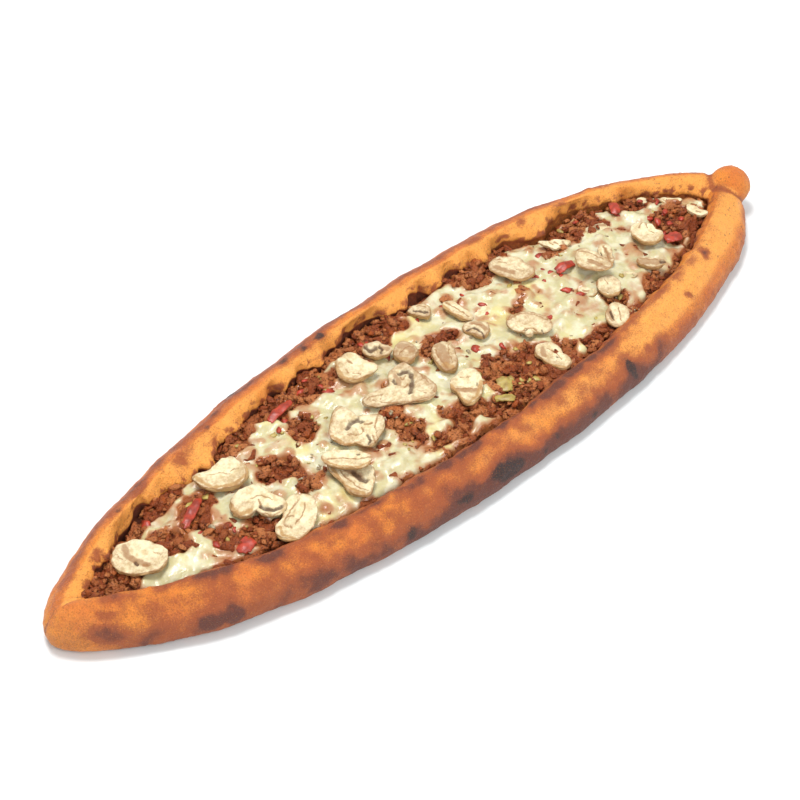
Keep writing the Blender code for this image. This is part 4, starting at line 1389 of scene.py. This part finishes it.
SLICES = (
    Slice(
        "mushroom_01", (14.4, 13.5, 12.0, 12.0, 13.3, 14.6, 14.5, 13.0, 10.5, 9.4, 10.0, 12.5),
        (tan(1.6, (-9, 8), (-7, 2), (-2, -1), (4, -3)), gill(0.9, (-2.4, -1.8), (-1.2, -3)),
         line(0.9, (2, -3), (4, -4)),
         line(0.35, (-13, 3), (-8, -1)), line(0.3, (6, 5), (12, 1))),
        thickness=5.0, skin_arc=(150, 380),
    ),
    Slice(
        "mushroom_02", (14, 14, 13.5, 11.5, 8.5, 8.5, 14, 12, 9, 8, 8.5, 11),
        (line(0.5, (5, 4), (7, 5), (9, 4.5)), line(0.3, (-8, 1), (0, 3), (5, 2)),
         skin(1.3, (-13, -2), (-4, -7), (8, -4.5), (14, 0))),
        thickness=5.6, slope=(0, 0.12), skin_arc=(190, 380),
    ),
    Slice(
        "mushroom_03", (15, 10, 9.5, 11.5, 12, 13, 14, 13.5, 10.5, 5.5, 9.5, 14),
        (gill(1.1, (2.4, -3.6), (6, -5.4), (10, -5.2), (13, -3)), line(0.6, (1, 1), (2.5, -4)),
         line(0.4, (-3, 2), (2, 4), (8, 1)),
         skin(1.5, (-14, -2), (-9, -8), (-3, -6)), line(0.4, (4, -7.5), (9, -9), (13, -6))),
        thickness=5.2, slope=(0, 0.1), skin_arc=(175, 250), bend=-1.0,
    ),
    Slice(
        "mushroom_04", (10.5, 12.5, 15.5, 16.0, 12, 8, 7.5, 11.5, 15.5, 14.5, 12, 10.5),
        (line(0.55, (1, 12), (-3, 6), (-6, -1), (-5, -5), (-2, -6)),
         line(0.45, (4.5, 10), (3.5, 3), (0, -3)),
         stem(2.0, (2, 9), (0, 3), (-3, -3)), line(0.5, (-4, 2), (-1, 1)),
         skin(1.0, (-8, -6), (-6, -12), (0, -14))),
        thickness=3.8, skin_arc=(140, 330),
    ),
    Slice(
        "mushroom_05", (15, 16.5, 12, 9.5, 18, 15, 14.5, 15, 13.5, 10.5, 15, 14),
        (gill(1.5, (-5, 0), (-3.3, 4.2), (0.7, 6.5), (3, 5)), stem(2.3, (-2, -2)),
         line(0.5, (-4.5, -4), (0, -5), (4, -2), (3, 1)),
         line(0.4, (-5, -1), (-4, 1)), line(0.5, (12, 11), (10, 2), (12, -8)),
         gill(0.8, (6, -4), (8, -8), (7, -12)),
         line(0.6, (9, -5), (11, -11)), line(0.6, (5, 3), (9, 4)),
         skin(0.9, (-13, -6), (-6, -11), (2, -10))),
        thickness=3.8, tint=0.15, skin_arc=(150, 300),
    ),
    Slice(
        "mushroom_06", (12.5, 10.5, 7.6, 7, 8, 11, 14, 8.5, 6, 5.2, 6.2, 10),
        (line(0.5, (-12, 0), (-4, 1.5), (5, 1), (12, 1.5)),
         skin(0.8, (-13, -1), (-6, -4), (6, -5), (12, -2)), gill(0.5, (4, 4), (6, 4))),
        thickness=3.4, rise=1.4, skin_arc=(170, 370), slope=(0, 0.1),
    ),
    Slice(
        "mushroom_07", (10, 11, 9, 8, 11, 17, 11, 8, 9.5, 12, 15, 11.5),
        (gill(1.6, (-1, 2), (3, -2), (6, -3)), tan(2.2, (-4, 4), (2, 0)),
         skin(1.1, (-14, 7), (-6, -6), (5, -13)), line(0.5, (-8, 3), (1, -7), (7, -10))),
        thickness=4.6, skin_arc=(130, 310), slope=(0, 0.1),
    ),
    Slice(
        "mushroom_08", (13, 8.5, 8, 10, 11.5, 12, 11, 10.5, 10, 9, 8.5, 9.5),
        (line(0.8, (-4, 5.5), (-2, 4)), line(0.5, (-5, 0), (-3.5, -3)), line(0.5, (-1, -3), (3, -3.5)),
         skin(1.4, (-11, 1), (-7, -7), (1, -9), (7, -6))),
        thickness=5.6, skin_arc=(130, 330), slope=(0.03, 0.14),
    ),
    Slice(
        "mushroom_09", (19, 15, 14.5, 18, 16, 9.5, 11, 27, 14.5, 12, 12, 17),
        (gill(1.5, (-2, 10.6), (0, 12.4), (2.6, 12.4), (4.4, 10.4), (5.0, 7), (4.7, 3), (4.2, -0.5),
          (4, -3.5)),
         line(0.45, (0.5, 0), (2.6, 3)), gill(1.1, (-6, 5), (-4.5, 3)),
         line(0.5, (-2, 8.6), (-0.4, 6), (1.2, 8.8)),
         tan(1.6, (-5, 9), (-3, 6), (-2.6, 2)), line(0.3, (8, -2), (13, -5)),
         line(0.4, (-18, -8), (-12, -5), (-13, -9)),
         line(0.5, (6, 15), (14, 4), (18, -4)), line(0.45, (-23, -10), (-10, -12), (2, -11), (14, -8))),
        thickness=3.2, tint=0.34, skin_arc=(0, 60),
    ),
    Slice(
        "mushroom_10", (9, 9.5, 13, 13, 11, 10.5, 9.5, 7, 8.5, 13.5, 11, 9),
        (line(0.55, (-7, -1.5), (-1, -0.5), (5, -0.5)), gill(0.6, (5.5, 3), (5.8, 1.8)),
         tan(1.4, (-6, -2.5), (5, -2)),
         skin(1.2, (-9, 1), (-5, -6), (0, -13), (5, -7), (8, 4)), line(0.3, (-4, 7), (2, 8))),
        thickness=5.2, skin_arc=(160, 380), slope=(0, 0.08),
    ),
    Slice(
        "mushroom_11", (7, 7.5, 10, 12, 10, 8, 7, 6.5, 8, 11, 12.5, 9),
        (tan(3.5, (-2, 6), (1, -6)), line(0.5, (-5, 4), (-3, -3), (2, -10)),
         line(0.3, (3, 9), (3, 0), (5, -6)), skin(1.6, (0, -8), (5, -9))),
        thickness=5.4, tint=0.45, bend=-2.2, skin_arc=(160, 380),
    ),
    Slice(
        "mushroom_12", (7.5, 7, 7, 8, 7.5, 7, 7, 7, 7, 8, 8, 7),
        (tan(3.0, (-2, 3), (3, 0)), line(0.4, (-4, -4), (0, 1), (5, 3)), skin(1.2, (-5, -6), (2, -7))),
        thickness=6.0, tint=0.55, bend=-2.0, skin_arc=(160, 380), slope=(0, 0.1),
    ),
    Slice(
        "mushroom_13", (8.5, 7, 5.5, 7, 7, 8, 9, 8, 6, 6, 5.5, 7.5),
        (gill(1.7, (-6.5, 1), (-4, -0.8), (-1, 1.6)), gill(0.9, (1, 3), (2.6, 0.5), (2, -2)),
         line(0.5, (-8, -3), (-2, -4)),
         tan(1.5, (3, 2), (6, 0))),
        thickness=5.0, tint=0.35, skin_arc=(160, 330),
    ),
    Slice(
        "mushroom_14", (6, 6.5, 6, 5, 5.5, 7, 7.5, 6, 5, 5, 6, 6.5),
        (gill(0.8, (-4, -1), (0, -2.5), (4, -2)), line(0.5, (-2, 3), (3, 2))),
        thickness=5.0, tint=0.4, bend=-1.8, skin_arc=(160, 380),
    ),
    Slice(
        "mushroom_15", (6, 4, 4.2, 6.5, 11, 9, 5.5, 4.2, 4, 5, 8.5, 11),
        (line(0.55, (-6, 7), (0, 1), (7, -5)), skin(0.9, (-8, 5), (-3, -3), (6, -8))),
        thickness=4.2, tint=0.15, bend=-1.5, skin_arc=(180, 320),
    ),
    Slice(
        "mushroom_16", (7.5, 7, 5, 4.5, 5, 7, 8, 7.5, 6, 7, 8.5, 8),
        (gill(0.7, (-6, -3), (-2, -1.6), (2, -4), (4, -7)), line(0.5, (-3, 2), (3, 0)),
         tan(1.6, (-3, 2), (2, 1), (5, -2))),
        thickness=4.2, tint=0.3, bend=-1.6, skin_arc=(160, 380),
    ),
    Slice(
        "mushroom_17", (13.5, 12, 11, 10.5, 11, 13, 13, 10, 6.5, 9.5, 6.5, 12.5),
        (line(0.5, (-4, -5), (-2, -2.2), (0.5, -1.6), (3, -2.4), (5, -5.5)),
         gill(0.5, (-2.4, -4.4), (-1, -3)), stem(2.2, (0, -6)),
         line(0.4, (-12, 3), (-5, 9), (4, 9), (11, 3)), gill(0.5, (7, -4), (8.5, -7))),
        thickness=3.4, tint=0.2, skin_arc=(0, 170),
    ),
    Slice(
        "mushroom_18", (7.5, 7, 7.5, 9, 10, 10, 9.5, 7.5, 8, 10, 14.5, 12.5),
        (gill(0.8, (3, -2), (3.6, -2.6)), skin(1.2, (-8, -3), (-3, -9), (7, -12)),
         line(0.4, (-2, 4), (3, 1), (6, -5)), tan(1.5, (-5, 4), (-4, -2))),
        thickness=3.8, tint=0.22, skin_arc=(170, 310), rise=0.5,
    ),
    Slice(
        "mushroom_19", (13, 9.5, 9.5, 9.5, 11, 13, 14, 11, 8.5, 10, 12, 14.5),
        (line(0.35, (-8, 5), (-3, 4)), tan(2.0, (-10, 0), (0, -4)), line(0.4, (-9, 6), (-7, 7)),
         line(0.3, (2, -1), (8, -3))),
        thickness=3.8, tint=0.3, skin_arc=(180, 360),
    ),
    Slice(
        "mushroom_20", (9.5, 6.5, 4.6, 4, 3.5, 4, 10, 5, 4.5, 5.5, 5, 6.5),
        (tan(0.8, (0, 1), (2, -1)), tan(0.7, (5, 1), (6, -2)), line(0.35, (-3, 1), (-1, -1))),
        thickness=3.6, skin_arc=(190, 200),
    ),
    Slice(
        "mushroom_21", (10, 7, 7.5, 8.5, 10.5, 10.5, 9.5, 9.5, 9, 9, 12, 13.5),
        (line(0.7, (-2, 1), (3, -2), (8, -7)), tan(1.6, (-1, -1), (7, -8)),
         line(0.4, (-8, 7), (0, 6), (7, 0))),
        thickness=3.6, tint=0.3, rise=0.8, skin_arc=(200, 400),
    ),
    Slice(
        "mushroom_22", (5, 6, 7.5, 9, 7, 4, 4, 5, 7, 9, 9.5, 6.5),
        (line(0.7, (0, 7), (2, 1), (2, -6)), tan(1.5, (1, 4), (3, -4)), gill(0.5, (-2, 2), (-1, -2))),
        thickness=3.8, tint=0.15, skin_arc=(260, 420),
    ),
    Slice(
        "mushroom_23", (7.5, 8, 8.5, 8.5, 8, 7.5, 7, 7, 8, 9.5, 9, 8),
        (line(0.7, (-6.5, 5), (-7, -4)), gill(0.5, (-1, -6)), line(0.3, (-2, 6), (0, 2)),
         skin(0.9, (-5, -7), (1, -9), (6, -6))),
        thickness=3.6, tint=0.3, skin_arc=(200, 340),
    ),
    Slice(
        "mushroom_24", (9.5, 7.5, 8, 9, 10, 10, 10, 8.5, 8.5, 9, 10, 10),
        (stem(2.0, (-2.5, 6)), line(0.5, (-4.5, 4.5), (-3, 8), (0, 7.5), (0.5, 5)),
         skin(1.1, (-9, -3), (-2, -9), (6, -8), (9, -3)), line(0.35, (2, 2), (6, 0))),
        thickness=4.8, skin_arc=(175, 365), slope=(0, 0.1),
    ),
    Slice(
        "mushroom_25", (9.5, 5.5, 4.5, 4.5, 5, 7, 7.5, 5, 4.5, 4.5, 5.5, 8),
        (gill(1.4, (7, -0.5), (8.5, -1)), tan(2.5, (-5, 0), (5, 0)), line(0.5, (-6, 3), (5, 2)),
         line(0.5, (-7, 2), (-7, -3))),
        thickness=4.4, tint=0.4, skin_arc=(180, 360),
    ),
    Slice(
        "mushroom_26", (8, 8, 8, 8, 7, 6, 6, 6.5, 8, 9, 8.5, 8),
        (gill(0.6, (-3, 2), (-1.4, -3)), line(0.4, (2, 5), (3, -4)), tan(1.5, (-4, 3), (-2, -4))),
        thickness=4.2, tint=0.3, slope=(0, 0.2), skin_arc=(120, 240),
    ),
    Slice(
        "mushroom_27", (6, 3.5, 3, 4, 6, 7, 6, 4, 3, 3.5, 5, 7.5),
        (tan(0.8, (0, 0), (2, -1)),), thickness=3.8, skin_arc=(190, 200),
    ),
    Slice(
        "slice_in_cheese_1", (9, 10, 11, 11, 9, 9, 10, 9, 8, 7, 7, 8),
        (tan(0.9, (-8, 4), (-3, 8), (4, 7), (8, 0)), line(0.4, (-7, 4), (-2, 7), (4, 6), (7, 0))),
        thickness=3.2, rise=-1.2, bend=-2.5, skin_arc=(190, 200), spot=(59, 20),
    ),
    Slice(
        "slice_in_cheese_2", (10, 10, 9, 9, 10, 10, 10, 9, 8, 8, 9, 10),
        (line(0.5, (-8, 0), (-5, 6), (2, 8), (8, 3)), tan(1.2, (-6, -2), (-3, 4), (3, 5))),
        thickness=3.4, rise=-1.2, bend=-2.0, skin_arc=(190, 200), spot=(163, 21),
    ),
    Slice(
        "gill_scrap_1", (6, 4.5, 3.5, 3.5, 4.5, 5.5, 6, 4.5, 3.5, 3.5, 4.5, 5.5),
        (gill(0.8, (-3, -1.5), (3, -2)), tan(1.0, (-2, 1), (2, 1))), thickness=2.6, skin_arc=(180, 360),
        spot=(113, -13),
    ),
    Slice(
        "gill_scrap_2", (6, 5, 3.5, 3, 3.5, 5, 6, 5, 3.5, 3, 3.5, 5),
        (gill(0.7, (-3, 0), (3, -1)),), thickness=2.8, tint=0.3, skin_arc=(180, 360), spot=(126, -43),
    ),
    Slice(
        "gill_scrap_3", (7, 4, 3, 3, 3.5, 5, 7, 4.5, 3, 3, 3.5, 5), (line(0.5, (-4, 0), (4, 0)),),
        thickness=3.0, skin_arc=(190, 200), spot=(218, 11),
    ),
    Slice(
        "gill_scrap_4", (7.5, 4.5, 3, 3, 3.5, 5, 7, 5, 3.5, 3, 3.5, 5), (gill(0.6, (0, 0), (4, -1)),),
        thickness=3.0, tint=0.15, skin_arc=(190, 200), spot=(209, 22),
    ),
    Slice(
        "gill_scrap_5", (5, 4, 3, 3, 3.5, 4, 4.5, 4, 3, 3, 3.5, 4.5), (gill(1.2, (-2, 0.5), (2, 0)),),
        thickness=2.6, tint=0.2, skin_arc=(190, 200), spot=(142, -20),
    ),
)


@dataclass(frozen=True)
class Bits:
    """Small scraps of one kind lying on the filling.

    Homes are heaps of them: (x, y, spread, how many), in millimetres.
    """

    name: str
    finish: Finish
    sizes: tuple[float, float]
    homes: tuple[tuple[float, float, float, int], ...]
    strays: int
    seed: int

    def build(self, filling: Filling) -> Piece:
        """Scatters the scraps and lays each on what is under it."""
        luck = np.random.default_rng(self.seed)
        spots = [luck.normal((x, y), spread, (count, 2)) for x, y, spread, count in self.homes]
        spots.append(luck.uniform((-215, -42), (215, 42), (4 * self.strays, 2)))
        spots = np.concatenate(spots) * MM
        flat = np.stack([spots[:, 0], spots[:, 1], np.zeros(len(spots))], axis=1)
        across = LOAF.across(flat)
        flat = flat[(across > 0.08) & (across < 0.94)]
        flat = flat[: sum(home[3] for home in self.homes) + self.strays]
        count = len(flat)
        flat[:, 2] = filling.surface(flat[:, 0], flat[:, 1])
        data = new_ball(self.name, 2, count)
        ball = points_of(data)
        each = len(ball) // count
        own = ball + np.repeat(luck.uniform(0, 50, (count, 3)), each, axis=0)
        ball *= (1 + 0.7 * rough(own, 0.9, 2, self.seed))[:, None]
        low, high = self.sizes
        width = luck.uniform(low, high, (count, 1)) / 2
        size = width * luck.uniform((1.0, 0.55, 0.35), (1.4, 0.95, 0.6), (count, 3))
        turns = np.repeat(luck.uniform(0, math.pi, count), each)
        local = ball * np.repeat(size, each, axis=0) * MM
        x, y = turned(local[:, 0], local[:, 1], turns)
        move_points(data, np.repeat(flat, each, axis=0) + np.stack([x, y, local[:, 2]], axis=1))
        mark(data, gill=np.full(len(ball), 0.75))
        return place(data, self.finish)


BITS = (
    Bits(
        "red_pepper_bits", RED_PEPPER, (2.4, 6.0),
        ((-205, 25, 8, 5), (-165, -14, 9, 7), (-60, 38, 8, 6), (-15, 36, 10, 5), (40, 40, 14, 5),
         (110, 20, 12, 7), (195, 5, 12, 8)),
        11, 21,
    ),
    Bits(
        "green_pepper_bits", GREEN_PEPPER, (1.8, 4.4),
        ((-46, -26, 6, 5), (-69, 36, 8, 4), (36, -30, 9, 10), (-160, 10, 12, 6), (-105, 18, 10, 5),
         (10, 12, 8, 3)),
        12, 22,
    ),
    Bits("gill_bits", MUSHROOM, (1.2, 2.8),
     ((-98, -2, 3, 4), (28, 1, 6, 5), (-40, -8, 6, 4), (160, -20, 12, 5)), 8, 23),
)


PEPPERS = (
    PepperStrip("pepper_red_1", 20, 6, 10, RED_PEPPER),
    PepperStrip("pepper_red_2", 22, 6, 30, RED_PEPPER),
    PepperStrip("pepper_red_3", 11, 9, 12, RED_PEPPER),
    PepperStrip("pepper_red_4", 14, 7, -5, RED_PEPPER),
    PepperStrip("pepper_red_5", 12, 9, -26, RED_PEPPER),
    PepperStrip("pepper_red_6", 11, 7, 54, RED_PEPPER),
    PepperStrip("pepper_green_1", 12, 6, -43, GREEN_PEPPER),
    PepperStrip("pepper_green_2", 12, 9, 56, GREEN_PEPPER),
)


# ---------------------------------------------------------------- studio


@dataclass(frozen=True)
class Studio:
    """The pale floor, the soft light and the camera."""

    aim: tuple[float, float, float] = (-18.1 * MM, 11.9 * MM, 0.0)
    distance: float = 0.96
    azimuth: float = 43.4
    elevation: float = 45.0
    lens: float = 75.0
    # Each lamp: (name, place, width, watts).
    lamps: tuple[tuple[str, tuple[float, float, float], float, float], ...] = (
        ("window", (-0.05, 0.25, 1.4), 0.45, 17),
        ("fill", (-0.2, -1.1, 1.1), 0.7, 10),
    )
    floor_colour: Colour = (0.82, 0.85, 0.855)
    air_colour: Colour = (0.97, 0.99, 1.0)
    air_strength: float = 0.64

    def build(self) -> None:
        """Sets everything up."""
        self.add_floor()
        self.add_camera()
        for lamp in self.lamps:
            self.add_light(*lamp)
        world = bpy.data.worlds.new("studio")
        world.use_nodes = True
        air = world.node_tree.nodes["Background"]
        air.inputs["Color"].default_value = (*self.air_colour, 1.0)
        air.inputs["Strength"].default_value = self.air_strength
        bpy.context.scene.world = world
        bpy.context.scene.view_settings.view_transform = "Standard"

    def add_floor(self) -> None:
        """A plain pale floor."""
        data = new_mesh("floor", bmesh.ops.create_grid, x_segments=1, y_segments=1, size=4.0)
        recipe = Recipe("floor_look")
        recipe.fixed(Base_Color=self.floor_colour, Roughness=0.6, Specular_IOR_Level=0.2)
        data.materials.append(recipe.material)
        floor = bpy.data.objects.new("floor", data)
        floor.location.z = -0.2 * MM
        bpy.context.scene.collection.objects.link(floor)

    def add_camera(self) -> None:
        """The camera, looking down along the loaf."""
        azimuth, elevation = math.radians(self.azimuth), math.radians(self.elevation)
        level = math.cos(elevation)
        forward = Vector((math.sin(azimuth) * level, math.cos(azimuth) * level, -math.sin(elevation)))
        data = bpy.data.cameras.new("camera")
        data.lens = self.lens
        data.sensor_width = 36.0
        data.clip_start, data.clip_end = 0.05, 20.0
        camera = bpy.data.objects.new("camera", data)
        camera.location = Vector(self.aim) - forward * self.distance
        camera.rotation_euler = forward.to_track_quat("-Z", "Y").to_euler()
        bpy.context.scene.collection.objects.link(camera)
        bpy.context.scene.camera = camera

    def add_light(self, name: str, where: tuple[float, float, float], size: float, power: float) -> None:
        """A large soft lamp that looks at the loaf."""
        data = bpy.data.lights.new(name, "AREA")
        data.size = size
        data.energy = power
        lamp = bpy.data.objects.new(name, data)
        lamp.location = where
        lamp.rotation_euler = (Vector(self.aim) - Vector(where)).to_track_quat("-Z", "Y").to_euler()
        bpy.context.scene.collection.objects.link(lamp)


def main() -> None:
    """Builds the studio and every piece, in order."""
    logging.basicConfig(level=logging.INFO, format="%(name)s: %(message)s")
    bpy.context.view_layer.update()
    Studio().build()
    Crust().build()
    filling = Filling()
    filling.build_heap()
    filling.build_lumps()
    filling.build_cheese()
    for mushroom in SLICES:
        mushroom.build(filling)
    for pepper in PEPPERS:
        pepper.build()
    for bits in BITS:
        bits.build(filling)


if __name__ == "__main__":
    main()
